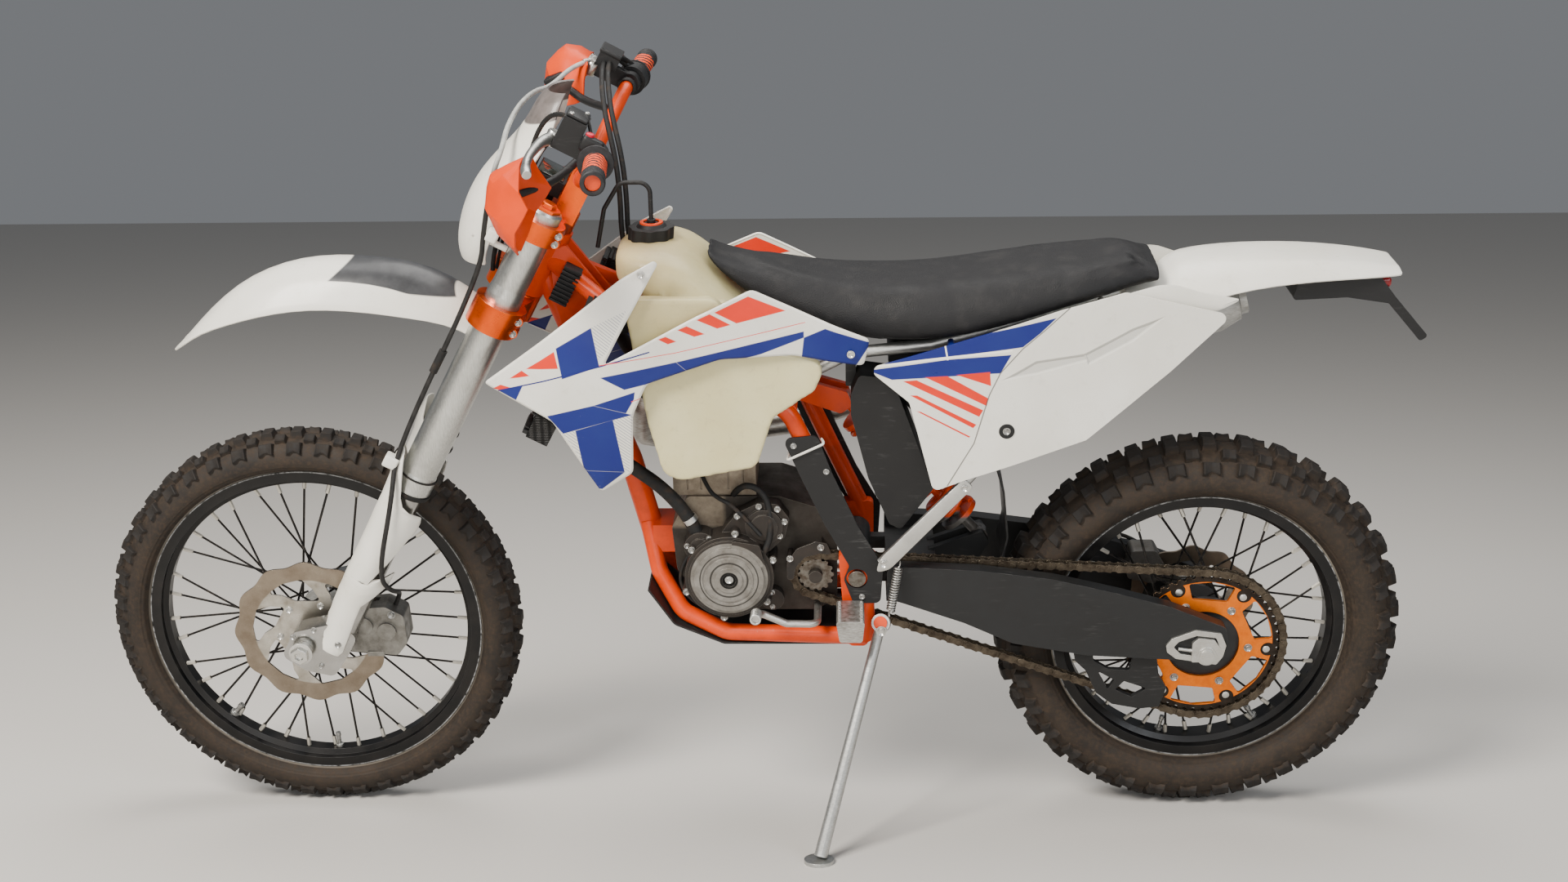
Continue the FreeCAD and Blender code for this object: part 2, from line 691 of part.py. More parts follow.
def fender_rows(table):
    rows = []
    for x, crown, edge, half in table:
        row = []
        for k in range(-4, 5):
            share = k / 4.0
            drop = (crown - edge) * abs(share) ** 2.4
            row.append((x, half * share, crown - drop))
        rows.append(row)
    return rows


fender_sheet = skin(fender_rows(FRONT_FENDER_ROWS), -3.0)
fender_post = steer_place(box(-8, 34, -34, 34, 618, LOWER_CLAMP[0] - SEAT_GAP))
NODES["front_fender"] = fused([fender_sheet, fender_post])

# Fork guards in front of the inner tubes
GUARD_WRAP_OUT = 145
GUARD_WRAP_IN = 55
guard_rows = []
for s in (76, 120, 170, 230, 300, 372):
    row = []
    for k in range(-4, 5):
        turn = k / 4.0 * math.radians(GUARD_WRAP_OUT if k > 0 else GUARD_WRAP_IN)
        wide = between([(76, 29), (230, 31), (340, 34), (372, 36)], s)
        row.append((-wide * math.cos(turn), -LEG_Y - wide * math.sin(turn), s))
    guard_rows.append(row)
fork_guard = skin(guard_rows, 3.0)
guard_window = plan_prism([(2, -LEG_Y), (2, -LEG_Y - 60), (60, -LEG_Y - 60), (60, -LEG_Y)], 208, 262)
guard_foot = side_prism([(-8, 60), (8, 160), (60, 182), (60, 60)], -LEG_Y - 60, -LEG_Y)
guard_top = side_prism([(-6, 390), (12, 318), (60, 306), (60, 390)], -LEG_Y - 60, -LEG_Y)
fork_guard = fork_guard.cut(Part.makeCompound([guard_window, guard_foot, guard_top]))
fork_guard = sorted(fork_guard.Solids, key=lambda solid: solid.Volume)[-1]
NODES["fork_guards"] = steer_place(pair(fork_guard))

# Front brake caliper behind the left leg, over the disc's edge
caliper = side_prism([(70, 330), (150, 322), (168, 345), (165, 395), (135, 412), (60, 405)], -88, -38, 9)
slot = disc_y(FRONT_AXLE.x, FRONT_AXLE.z, FRONT_DISC_Y[0] - MOVE_GAP, FRONT_DISC_Y[1] + MOVE_GAP, 136)
leg_room = steer_place(Part.makeCylinder(INNER_TUBE_R + SEAT_GAP, 500, V(0, -LEG_Y, 0)))
lug_room = steer_place(lug_face.makeOffset2D(SEAT_GAP).extrude(V(0, LUG_OUT - LUG_IN + SEAT_GAP, 0)))
pistons = [disc_y(x, z, -93, -80, 15.5) for x, z in ((98, 378), (136, 368))]
bridge = box(100, 128, -91, -40, 322, 330)
caliper = caliper.fuse(pistons + [bridge])
caliper = caliper.cut(slot).cut(leg_room).cut(lug_room)
caliper = sorted(caliper.Solids, key=lambda solid: solid.Volume)[-1]
NODES["front_brake_caliper"] = caliper

HOSE_PATH = [
    (-37.3, 234, 1023), (-62, 213, 1008), (-80, 160, 968), (-98, 110, 966), (-108, 30, 956),
    (-107, -50, 938), (-98, -100, 920), (-94, -134, 890), (-70, -132, 800), (-48, -114, 735),
    (-47, -118, 400), (-20, -150, 340), (14, -146, 200), (44, -116, 168), (60, -66, 150),
    (60, -66, 121.6),
]
NODES["front_brake_hose"] = steer_place(pipe(HOSE_PATH, 4.0, 24))

# Main frame
HEAD_S = (LOWER_CLAMP[1] + 1.5, UPPER_CLAMP[0] - 1.5)
head_tube = Part.makeCylinder(31, HEAD_S[1] - HEAD_S[0], V(STEM_OFFSET, 0, HEAD_S[0]))
head_bore = rod((STEM_OFFSET, 0, HEAD_S[0] - 2), (STEM_OFFSET, 0, HEAD_S[1] + 2), STEM_R + RUN_GAP)
head_bore = steer_place(head_bore)
head_tube = steer_place(head_tube)
HEAD_MID = steer_point(STEM_OFFSET, 0, (HEAD_S[0] + HEAD_S[1]) / 2)
PIVOT = V(914, 0, 480)
BEAM_Y = 104.0
BEAM_R = 14.0
PLATE_Y = (91.0, 112.0)


def beam_path(side):
    return [
        (HEAD_MID.x + 8, side * 8, HEAD_MID.z + 6), (560, side * 78, 905), (808, side * BEAM_Y, 762),
        (927, side * BEAM_Y, 500), (930, side * BEAM_Y, 366),
    ]


down_tube = pipe([(HEAD_MID.x + 6, 0, HEAD_MID.z - 20), (545, 0, 640), (578, 0, 505)], 19, 120)
frame_parts = [head_tube, down_tube]
for side in (-1, 1):
    beam = pipe(beam_path(side), BEAM_R, 60)
    cradle = pipe(
        [
            (570, side * 8, 530), (588, side * 40, 455), (628, side * 76, 398), (700, side * 88, 366),
            (929, side * BEAM_Y, 366),
        ],
        BEAM_R, 40,
    )
    plate = side_prism(
        [(884, 520), (944, 520), (944, 440), (936, 410), (932, 352), (900, 352), (890, 440)],
        side * PLATE_Y[0], side * PLATE_Y[1], 10,
    )
    frame_parts += [beam, cradle, plate]
frame_parts.append(rod((808, -BEAM_Y, 762), (808, BEAM_Y, 762), 13))
frame_parts.append(rod((929, -BEAM_Y, 366), (929, BEAM_Y, 366), 12))
for side in (-1, 1):
    frame_parts.append(side_prism(
        [(436, 1000), (462, 1012), (500, 960), (540, 905), (500, 880), (486, 800), (470, 800), (440, 920)],
        side * 18, side * 26, 6,
    ))
PIVOT_R = 8.5
STAND_PIVOT = V(953, -128, 402)
FOOT_Y = -307.7
FLOOR_WAY = V(0, math.sin(math.radians(LEAN)), math.cos(math.radians(LEAN)))
FOOT = V(851.4, FOOT_Y, (-FOOT_Y * FLOOR_WAY.y - FLOOR_LIFT) / FLOOR_WAY.z)
leg_way = (FOOT - STAND_PIVOT).normalize()
FOLDED = V(0.97, -0.2, -0.1).normalize()
STAND_AXIS = leg_way.cross(FOLDED).normalize()
EYE_HALF = 9.0
STAND_PIN_R = 6.0

# Lugs for the engine, the shock and the stand
CASE_OUTLINE = [
    (640, 600), (614, 545), (620, 470), (662, 412), (715, 396), (850, 396), (882, 420), (882, 545),
    (850, 580), (790, 600),
]
CASE_LEFT = -66.0
CASE_RIGHT = 72.0
case_room = side_prism(CASE_OUTLINE, CASE_LEFT - SEAT_GAP, CASE_RIGHT + SEAT_GAP, 14)
engine_lug = box(580, 632, -34, 34, 486, 534).cut(case_room)
engine_lug = sorted(engine_lug.Solids, key=lambda solid: solid.Volume)[-1]
engine_lug.translate(V(-SEAT_GAP, 0, 0))
frame_parts.append(engine_lug)
SHOCK_Y = 20.0
SHOCK_EYE_HALF = 12.0
SHOCK_HIGH = V(893, SHOCK_Y, 737)
SHOCK_LOW = V(1118, SHOCK_Y, 493)
EYE_R = 14.0
for y0 in (SHOCK_Y - 24, SHOCK_Y + 12 + SEAT_GAP):
    frame_parts.append(side_prism(
        [(800, 776), (830, 776), (900, 755), (908, 732), (890, 718), (800, 750)], y0, y0 + 12 - SEAT_GAP, 8,
    ))
frame_parts.append(Part.makeCylinder(
    14, 7.5, STAND_PIVOT - STAND_AXIS * (EYE_HALF + 8), STAND_AXIS,
))
frame_parts.append(Part.makeCylinder(
    STAND_PIN_R, 2 * EYE_HALF + 12, STAND_PIVOT - STAND_AXIS * (EYE_HALF + 8), STAND_AXIS,
))
frame_parts.append(Part.makeCylinder(
    11, 4, STAND_PIVOT + STAND_AXIS * (EYE_HALF + 0.5), STAND_AXIS,
))
frame_parts.append(box(926, 962, -113, -98, 378, 402))
main_frame = fused(frame_parts)
main_frame = main_frame.cut(head_bore)
main_frame = main_frame.cut(disc_y(PIVOT.x, PIVOT.z, -140, 140, PIVOT_R + SEAT_GAP))
NODES["main_frame"] = main_frame

# Subframe under the seat
STRUT_R = 8.0
GUARD_Y = (119.0, 123.0)
STRUT_PATH = {}
for side in (-1, 1):
    STRUT_PATH[side] = [
        (952, side * (GUARD_Y[1] + STRUT_R + SEAT_GAP), 512), (1092, side * 112, 652), (1308, side * 62, 932),
    ]
subframe = []
for side in (-1, 1):
    upper = pipe(
        [
            (814, side * 70, 800), (905, side * 78, 850), (1030, side * 76, 862), (1110, side * 72, 881.8),
            (1300, side * 62, 935.8), (1318, side * 61, 940.9),
        ],
        9.5, 40,
    )
    lower = pipe(STRUT_PATH[side], STRUT_R, 60)
    ear = box(804, 824, min(side * 62, side * 76), max(side * 62, side * 76), 775.3, 800)
    subframe += [upper, lower, ear]
subframe.append(rod((1312, -61, 939), (1312, 61, 939), 9))
subframe.append(rod((905, -78, 850), (905, 78, 850), 8))
NODES["subframe"] = fused(subframe)

# Guards on the lower frame, with a hole for the pivot bolt
GUARD_OUTLINE = [
    (798, 723), (831, 646), (863, 575), (902, 502), (893, 478), (908, 436), (952, 436), (956, 502),
    (915, 574), (874, 667), (852, 729),
]
guard = side_prism(GUARD_OUTLINE, -GUARD_Y[1], -BEAM_Y - BEAM_R - SEAT_GAP, 10)
guard = guard.cut(disc_y(PIVOT.x, PIVOT.z, -140, -90, 17))
NODES["frame_guards"] = pair(guard)

# Engine, with the gearbox behind the crank
case = side_prism(CASE_OUTLINE, CASE_LEFT, CASE_RIGHT, 14)
shaft = disc_y(FRONT_SPROCKET.x, FRONT_SPROCKET.z, -94, -60, 11)
NODES["engine_cases"] = fused([case, shaft])
cylinder = box(618, 752, -60, 60, 600.3, 700)
flutes = [box(x, x + 3, -61, -58, 610, 692) for x in (640, 662, 706, 730)]
cylinder = cylinder.cut(Part.makeCompound(flutes))
head = box(608, 762, -66, 66, 700, 770)
cam_cover = side_prism([(616, 770), (752, 770), (738, 800), (640, 806)], -58, 58, 10)
NODES["cylinder_head"] = fused([cylinder, head, cam_cover])
IGNITION = V(708, 0, 477)
IGNITION_FACE = -112.0
SMALL_COVER = [
    (690, 536), (704, 560), (722, 582), (758, 601), (788, 597), (806, 572), (798, 540), (772, 513),
    (719, 520),
]
BRACKET = [(714, 546), (758, 538), (766, 504), (745, 487), (712, 512)]


def at_ignition(y0, y1, radius, bore=0.0):
    return disc_y(IGNITION.x, IGNITION.z, y0, y1, radius, bore)


left_cover = fused([
    at_ignition(CASE_LEFT - SEAT_GAP, IGNITION_FACE, 72),
    at_ignition(IGNITION_FACE, IGNITION_FACE - 4, 66),
    at_ignition(IGNITION_FACE - 4, IGNITION_FACE - 10, 56),
    at_ignition(IGNITION_FACE - 10, IGNITION_FACE - 12, 22),
    side_prism(BRACKET, IGNITION_FACE - 9, IGNITION_FACE + 4, 5),
    side_prism(SMALL_COVER, -92, CASE_LEFT - SEAT_GAP, 8),
    disc_y(765, 560, -98, -90, 30),
    disc_y(765, 560, -101, -97, 22),
    disc_y(662, 524, -98, CASE_LEFT - SEAT_GAP, 26),
    disc_y(662, 524, -102, -97, 17),
])
ring_groove = at_ignition(IGNITION_FACE - 11, IGNITION_FACE - 8.5, 43, 39)
hub_recess = at_ignition(IGNITION_FACE - 13, IGNITION_FACE - 8, 11)
left_cover = left_cover.cut(ring_groove).cut(hub_recess)
SPROCKET_GUARD = [
    (801, 496), (817, 521), (848, 534), (866, 530), (874, 510), (855, 513), (830, 506), (815, 488),
    (811, 466), (801, 466),
]
guard_posts = [disc_y(x, z, CASE_LEFT - SEAT_GAP, -96, 4) for x, z in ((806, 504), (856, 524))]
sprocket_guard = fused([side_prism(SPROCKET_GUARD, -98, -95, 4)] + guard_posts)
filter_cover = disc_y(776, 423, CASE_LEFT - SEAT_GAP, -84, 19)
filter_cover = filter_cover.cut(at_ignition(CASE_LEFT, IGNITION_FACE, 72 + SEAT_GAP))
clutch_cover = fused([
    disc_y(790, 480, CASE_RIGHT + SEAT_GAP, 108, 84),
    disc_y(680, 470, CASE_RIGHT + SEAT_GAP, 98, 60),
    disc_y(790, 480, 108, 116, 62),
])
NODES["engine_covers"] = Part.makeCompound([left_cover, clutch_cover, sprocket_guard, filter_cover])

# Radiators and their louvres
def tilted(shape, x, z, angle):
    moved = shape.copy()
    moved.rotate(V(0, 0, 0), V(0, 1, 0), angle)
    moved.translate(V(x, 0, z))
    return moved


radiator = box(0, 36, -160, -98, 0, 236)
radiator = tilted(radiator, 402, 745, RAKE)
hanger = box(500, 562, -99, -78, 892, 912)
hanger = hanger.cut(pipe(beam_path(-1), BEAM_R + SEAT_GAP, 60))
hanger = sorted(hanger.Solids, key=lambda solid: solid.BoundBox.YMin)[0]
NODES["radiators"] = pair(fused([radiator, hanger]))

LOBE_Y = (120.0, 144.0)

# Fuel tank: a body over the beams with a lobe outside each of them
tank_body_sections = []
for x, top, bottom, half in (
    (542, 1002, 968, 50), (558, 1013, 950, 84), (592, 1017, 936, 104), (645, 1009, 908, 112),
    (700, 966, 880, 114), (760, 916, 852, 110), (815, 882, 838, 94),
):
    middle = (top + bottom) / 2
    tall = (top - bottom) / 2
    ring = []
    for k in range(16):
        turn = 2 * math.pi * k / 16
        c, s = math.cos(turn), math.sin(turn)
        ring.append((
            x,
            half * math.copysign(abs(c) ** 0.6, c),
            middle + tall * math.copysign(abs(s) ** 0.6, s),
        ))
    tank_body_sections.append(ring)
tank_body = loft(tank_body_sections)
tank_parts = [tank_body]
for side in (-1, 1):
    lobe = side_prism(
        [
            (560, 960), (590, 760), (612, 672), (640, 662), (758, 684), (784, 766), (850, 812), (868, 855),
            (760, 878), (700, 960),
        ],
        side * LOBE_Y[0], side * LOBE_Y[1], 22,
    )
    neck = box(590, 716, min(side * 96, side * 134), max(side * 96, side * 134), 922, 944)
    foot = box(650, 680, min(side * 84, side * 122), max(side * 84, side * 122), 848, 925)
    tank_parts += [lobe, neck, foot]
fuel_tank = fused(tank_parts)
beam_rooms = [pipe(beam_path(side), BEAM_R + SEAT_GAP, 60) for side in (-1, 1)]
NODES["fuel_tank"] = fuel_tank.cut(Part.makeCompound(beam_rooms))


def lying_on(shape, carrier, way, gap=SEAT_GAP):
    """The larger part of a shape left when the piece it lies on, moved up by the gap, is taken from it."""
    tool = carrier.copy()
    tool.translate(way * gap)
    left = shape.cut(tool)
    return sorted(left.Solids, key=lambda solid: solid.Volume)[-1]


CAP_FOOT = V(592, 0, 1004)
CAP_TOP = V(595, 0, 1034)
cap_ring = []
for k in range(48):
    turn = 2 * math.pi * k / 48
    wide = 34.5 + 1.5 * math.cos(8 * turn)
    cap_ring.append(V(CAP_FOOT.x + wide * math.cos(turn), wide * math.sin(turn), CAP_FOOT.z))
cap_body = Part.Face(smooth_ring(cap_ring)).extrude(CAP_TOP - CAP_FOOT)
cap = cap_body.fuse([rod(CAP_TOP, CAP_TOP + V(0, 0, 5), 24, 19), rod(CAP_TOP, CAP_TOP + V(0, 0, 11), 7)])
VENT_R = 3.5
VENT_PATH = [(595, 0, CAP_TOP.z + 4), (595, 0, 1104), (548, 0, 1104), (522, 0, 1062), (509, 0, 1000)]
cap = lying_on(cap, fuel_tank, V(0, 0, 1))
NODES["fuel_cap"] = cap.fuse(pipe(VENT_PATH, VENT_R, 18))

# Seat
SEAT_ROWS = [
    (684, 1000, 1002, 40), (720, 993, 968, 62), (790, 975, 924, 82), (860, 960, 896, 98),
    (940, 953, 881, 110),
    (1020, 953, 879, 118), (1110, 963, 893, 120), (1200, 976, 919, 116), (1300, 987, 947, 100),
    (1380, 985, 966, 78),
]
seat_sections = []
for x, top, low, half in SEAT_ROWS:
    crown = max(top, low + 8)
    tall = crown - low
    half_ring = [(0.92, 0.0), (1.0, 0.2), (0.95, 0.6), (0.72, 0.92), (0.36, 0.99)]
    ring = [(x, -half * across, low + tall * up) for across, up in half_ring]
    ring.append((x, 0, crown))
    ring += [(x, half * across, low + tall * up) for across, up in reversed(half_ring)]
    seat_sections.append(dome_ring(ring))
NODES["seat"] = Part.makeLoft(seat_sections, True, False)


def panel(outline, depth_table, thickness, radius, side):
    """A side panel: an outline seen from the side, on a sheet whose distance from the middle follows x."""
    xs = [p[0] for p in outline]
    zs = [p[1] for p in outline]
    x0, x1 = min(xs) - 10, max(xs) + 10
    z0, z1 = min(zs) - 10, max(zs) + 10
    steps = 12
    near = []
    far = []
    for k in range(steps + 1):
        x = x0 + (x1 - x0) * k / steps
        d = between(depth_table, x)
        near.append((x, side * d, z0))
        far.append((x, side * (d + thickness), z0))
    curves = []
    for line in (near, far):
        curve = Part.BSplineCurve()
        curve.interpolate([V(*p) for p in line])
        curves.append(curve.toShape())
    caps = [
        Part.LineSegment(V(*near[0]), V(*far[0])).toShape(),
        Part.LineSegment(V(*near[-1]), V(*far[-1])).toShape(),
    ]
    strip = Part.Face(Part.Wire(Part.__sortEdges__(curves + caps)))
    sheet = strip.extrude(V(0, 0, z1 - z0))
    cutter = side_prism(outline, -260, 260, radius)
    return sheet.common(cutter)


SHROUD = [
    (342, 832), (446, 774), (514, 648), (566, 682), (571, 783), (594, 834), (706, 871), (818, 874),
    (925, 850), (934, 892), (819, 949), (756, 979), (666, 937), (531, 866), (558, 917), (622, 1030),
    (560, 997),
]
SHROUD_DEPTH = [(330, 150), (440, 170), (560, 170), (700, 162), (820, 152), (880, 147), (940, 130)]
shroud = [panel(SHROUD, SHROUD_DEPTH, 3.2, 8, -1)]
for x, z in ((480, 850), (452, 800)):
    shroud.append(disc_y(x, z, -160 - SEAT_GAP, -171, 7))
NODES["radiator_shrouds"] = pair(fused(shroud))
regulator = tilted(box(-2, 26, -49, -26.3, 0, 62), 436, 930, RAKE)
regulator = regulator.cut(pipe(beam_path(-1), BEAM_R + SEAT_GAP, 60))
NODES["voltage_regulator"] = sorted(regulator.Solids, key=lambda solid: solid.Volume)[-1]
LEFT_PANEL = [
    (930, 840), (1224, 934), (1321, 960), (1485, 918), (1396, 831), (1270, 721), (1082, 655), (1034, 636),
    (995, 786),
]
RIGHT_PANEL = [(930, 840), (1224, 934), (1321, 960), (1485, 918), (1400, 893), (1230, 852), (993, 792)]
PANEL_DEPTH = [(920, 121), (1000, 126), (1150, 130), (1300, 122), (1490, 106)]


def boss(x, z, y_in, side):
    """A round fixing boss behind a side panel."""
    outer = between(PANEL_DEPTH, x) + 1.0
    return disc_y(x, z, side * y_in, side * outer, 6)


left_panel = fused([
    panel(LEFT_PANEL, PANEL_DEPTH, 3, 10, -1), boss(1060, 869, 85.0, -1), boss(1146, 720, 109.0, -1),
    boss(1290, 932, 72.5, -1),
])
right_panel = fused([
    panel(RIGHT_PANEL, PANEL_DEPTH, 3, 10, 1), boss(1060, 869, 85.0, 1), boss(1290, 932, 72.5, 1),
])
NODES["side_panels"] = Part.makeCompound([left_panel, right_panel])
airbox = side_prism(
    [
        (905, 792), (918, 824), (960, 818), (976, 799), (1036, 632), (984, 560), (966, 570), (932, 650),
        (905, 758),
    ],
    -108, -40, 8,
)
inner_box = side_prism(
    [(960, 838), (1290, 872), (1230, 760), (1130, 690), (1040, 700), (985, 760)], -50, 50, 12,
)
flap = ribbon([(1118, 705), (1150, 600), (1158, 520), (1150, 478)], 3.0, -55, 55, 20)
shock_room = rod((1118, SHOCK_Y, 493), (893, SHOCK_Y, 737), 40)
airbox = airbox.cut(shock_room)
airbox_mount = box(897, 913, -66, -42, 790, 850 - 8 - SEAT_GAP)
NODES["airbox"] = fused([airbox, inner_box, flap, airbox_mount])

REAR_FENDER_ROWS = [
    (1330, 943, 888, 98), (1362, 952, 892, 100), (1392, 962, 900, 100), (1440, 982, 930, 99),
    (1490, 990, 945, 97), (1550, 991, 955, 93), (1614, 989, 960, 88),
    (1670, 984, 960, 80), (1716, 977, 960, 70), (1750, 968, 962, 54),
]
NODES["rear_fender"] = skin(fender_rows(REAR_FENDER_ROWS), -3.0)
holder = side_prism(
    [(1584, 926), (1668, 930), (1732, 920), (1786, 858), (1798, 866), (1742, 930), (1700, 984), (1600, 984)],
    -62, 62, 5,
)
PLATE_SEAT = V(1770, 0, 898)
PLATE_WAY = V(64, 0, 56).normalize()
PLATE_HOLE_R = 3.25
PLATE_HOLES_Y = 30.0
for side in (-1, 1):
    hole_mid = PLATE_SEAT + V(0, side * PLATE_HOLES_Y, 0)
    holder = holder.cut(rod(hole_mid - PLATE_WAY * 30, hole_mid + PLATE_WAY * 30, PLATE_HOLE_R))
NODES["plate_holder"] = lying_on(holder, NODES["rear_fender"], V(0, 0, -1))
tail_block = box(1317, 1342, -10, 10, 916, 939.4)
NODES["subframe"] = fused([NODES["subframe"], tail_block])

# Exhaust on the right
NODES["exhaust_header"] = pipe(
    [
        (607.7, 24, 735), (566, 24, 735), (556, 84, 650), (610, 152, 612), (800, 152, 640), (1000, 152, 705),
        (1098, 151, 742),
    ],
    20, 36,
)
silencer_start = V(1100.8, 151, 742.9)
silencer_end = V(1556, 147, 862)
silencer_way = (silencer_end - silencer_start).normalize()
silencer = rod(silencer_start + silencer_way * 50, silencer_end, 46)
inlet = rod(silencer_start, silencer_start + silencer_way * 51, 22, 45)
silencer_hanger = rod((1222, 91.5, 815), (1222, 128, 811), 6)
NODES["silencer"] = fused([silencer, inlet, silencer_hanger])

# Skid plate
NODES["skid_plate"] = ribbon(
    [(573, 446.5), (614, 383.5), (695.5, 348), (900, 348)], 3.0, -98, 98, 20,
)

# Swingarm
ARM_IN = 92.0
ARM_OUT = 116.0
ARM_OUTLINE = [
    (962, 498), (1112, 490), (1230, 474), (1336, 448), (1420, 424), (1512, 386), (1518, 352), (1502, 316),
    (1421, 328), (1288, 336), (1168, 358), (1087, 396), (988, 432), (962, 440),
]
arms = []
for side in (-1, 1):
    arm = side_prism(ARM_OUTLINE, side * ARM_IN, side * ARM_OUT, 12)
    arms.append(arm)
cross = box(962, 1044, -ARM_IN - 2, ARM_IN + 2, 425, 474)
necks = [box(912, 966, side * 62 - 14, side * 62 + 4, 452, 474) for side in (-1, 1)]
pivot_tube = disc_y(PIVOT.x, PIVOT.z, -66, 66, 24)
SHOCK_EAR = [(1030, 474), (1040, 430), (1120, 462), (1134, 488), (1122, 508), (1100, 500)]
shock_ears = []
for side in (-1, 1):
    ear_in = SHOCK_Y + side * (SHOCK_EYE_HALF + SEAT_GAP)
    shock_ears.append(side_prism(SHOCK_EAR, ear_in, SHOCK_Y + side * 24, 6))
swingarm = fused(arms + [cross] + necks + [pivot_tube] + shock_ears)
swingarm = swingarm.cut(disc_y(PIVOT.x, PIVOT.z, -140, 140, PIVOT_R + SEAT_GAP))
axle_slot = side_prism(
    [(1462, 338.5 + 12.3), (1502, 338.5 + 12.3), (1502, 338.5 - 12.3), (1462, 338.5 - 12.3)], -140, 140, 0,
)
swingarm = swingarm.cut(axle_slot)
NODES["swingarm"] = swingarm
pivot_bolt = disc_y(PIVOT.x, PIVOT.z, -GUARD_Y[1], GUARD_Y[1], PIVOT_R)
pivot_heads = []
for side in (-1, 1):
    head_in = side * (BEAM_Y + BEAM_R + SEAT_GAP)
    pivot_heads.append(disc_y(PIVOT.x, PIVOT.z, head_in, side * (GUARD_Y[1] + 2), 14))
NODES["swingarm_pivot"] = fused([pivot_bolt] + pivot_heads)

ADJUSTER = [
    (1416, 356), (1424, 368), (1463, 384), (1504, 378), (1513, 356), (1509, 336), (1499, 321), (1433, 332),
    (1418, 344),
]
ADJUSTER_SLOT = [(1428, 353), (1436, 363), (1464, 374), (1496, 370), (1503, 352), (1494, 331), (1440, 341)]
ADJUSTER_BLOCK = [(1458, 327), (1458, 362), (1468, 371), (1493, 368), (1504, 352), (1495, 328)]
axle_parts = [disc_y(REAR_AXLE.x, REAR_AXLE.z, -129, 129, REAR_AXLE_R)]
adjuster_plate = side_prism(ADJUSTER, -ARM_OUT - 5, -ARM_OUT - SEAT_GAP, 4)
adjuster_plate = adjuster_plate.cut(side_prism(ADJUSTER_SLOT, -ARM_OUT - 6, -ARM_OUT, 4))
adjuster = fused([
    adjuster_plate,
    side_prism(ADJUSTER_BLOCK, -ARM_OUT - 8, -ARM_OUT - SEAT_GAP, 3),
    rod((1436, -ARM_OUT - 3.5, 350), (1462, -ARM_OUT - 3.5, 346), 3),
    disc_y(REAR_AXLE.x, REAR_AXLE.z, -ARM_OUT - 10, -ARM_OUT - 7, 16),
])
axle_parts += [adjuster, mirrored(adjuster)]
axle_parts.append(disc_y(REAR_AXLE.x, REAR_AXLE.z, -91.7, -86, 19))
axle_parts.append(disc_y(REAR_AXLE.x, REAR_AXLE.z, 75, 91.7, 19))
NODES["rear_axle"] = fused(axle_parts)

# Shock absorber
shock_way = (SHOCK_HIGH - SHOCK_LOW).normalize()
COIL_R = 29.0
COIL_WIRE_R = 5.5
COIL_TURNS = 9
coil_start = SHOCK_LOW + shock_way * 52
coil_end = SHOCK_HIGH - shock_way * 44
coil_length = (coil_end - coil_start).Length


def shock_coil():
    """The spring, wound upright and then laid along the shock."""
    line = Part.makeHelix(coil_length / COIL_TURNS, coil_length, COIL_R)
    wire_end = Part.Wire(Part.makeCircle(COIL_WIRE_R, V(COIL_R, 0, 0), V(0, 1, 0)))
    coil = Part.Wire(line).makePipeShell([wire_end], True, True)
    coil.Placement = FreeCAD.Placement(coil_start, FreeCAD.Rotation(V(0, 0, 1), shock_way))
    return coil


NODES["shock_absorber"] = fused([
    disc_y(SHOCK_LOW.x, SHOCK_LOW.z, SHOCK_Y - SHOCK_EYE_HALF, SHOCK_Y + SHOCK_EYE_HALF, EYE_R),
    disc_y(SHOCK_HIGH.x, SHOCK_HIGH.z, SHOCK_Y - SHOCK_EYE_HALF, SHOCK_Y + SHOCK_EYE_HALF, EYE_R),
    rod(SHOCK_LOW, SHOCK_HIGH, 9),
    rod(SHOCK_LOW + shock_way * 150, coil_end, 21),
    rod(coil_start - shock_way * 6, coil_start + shock_way * 2, 34),
    rod(coil_end - shock_way * 2, coil_end + shock_way * 8, 34),
    shock_coil(),
])


# Chain
def chain_path(offset):
    """The chain's loop, moved outwards by the offset: round both sprockets with a slack lower run."""
    c0 = FRONT_SPROCKET
    c1 = V(REAR_AXLE.x, 0, REAR_AXLE.z)
    r0 = FRONT_PITCH_R + offset
    r1 = REAR_PITCH_R + offset
    line = c1 - c0
    base = math.atan2(line.z, line.x)
    tilt = math.asin((REAR_PITCH_R - FRONT_PITCH_R) / line.Length)
    up = base + math.pi / 2 + tilt
    down = base - math.pi / 2 - tilt

    def on(centre, r, turn):
        return V(centre.x + r * math.cos(turn), CHAIN_Y, centre.z + r * math.sin(turn))
    top0 = on(c0, r0, up)
    top1 = on(c1, r1, up)
    low0 = on(c0, r0, down)
    low1 = on(c1, r1, down)
    front = on(c0, r0, base + math.pi)
    rear = on(c1, r1, base)
    return [
        Part.LineSegment(top0, top1).toShape(),
        Part.Arc(top1, rear, low1).toShape(),
        Part.LineSegment(low1, low0).toShape(),
        Part.Arc(low0, front, top0).toShape(),
    ]


INNER_PLATE = (3.4, 5.4)
OUTER_PLATE = (5.4, 7.4)
PLATE_R = 7.2
PLATE_WAIST = 5.4
PIN_R = 3.0
PIN_REACH = 8.2


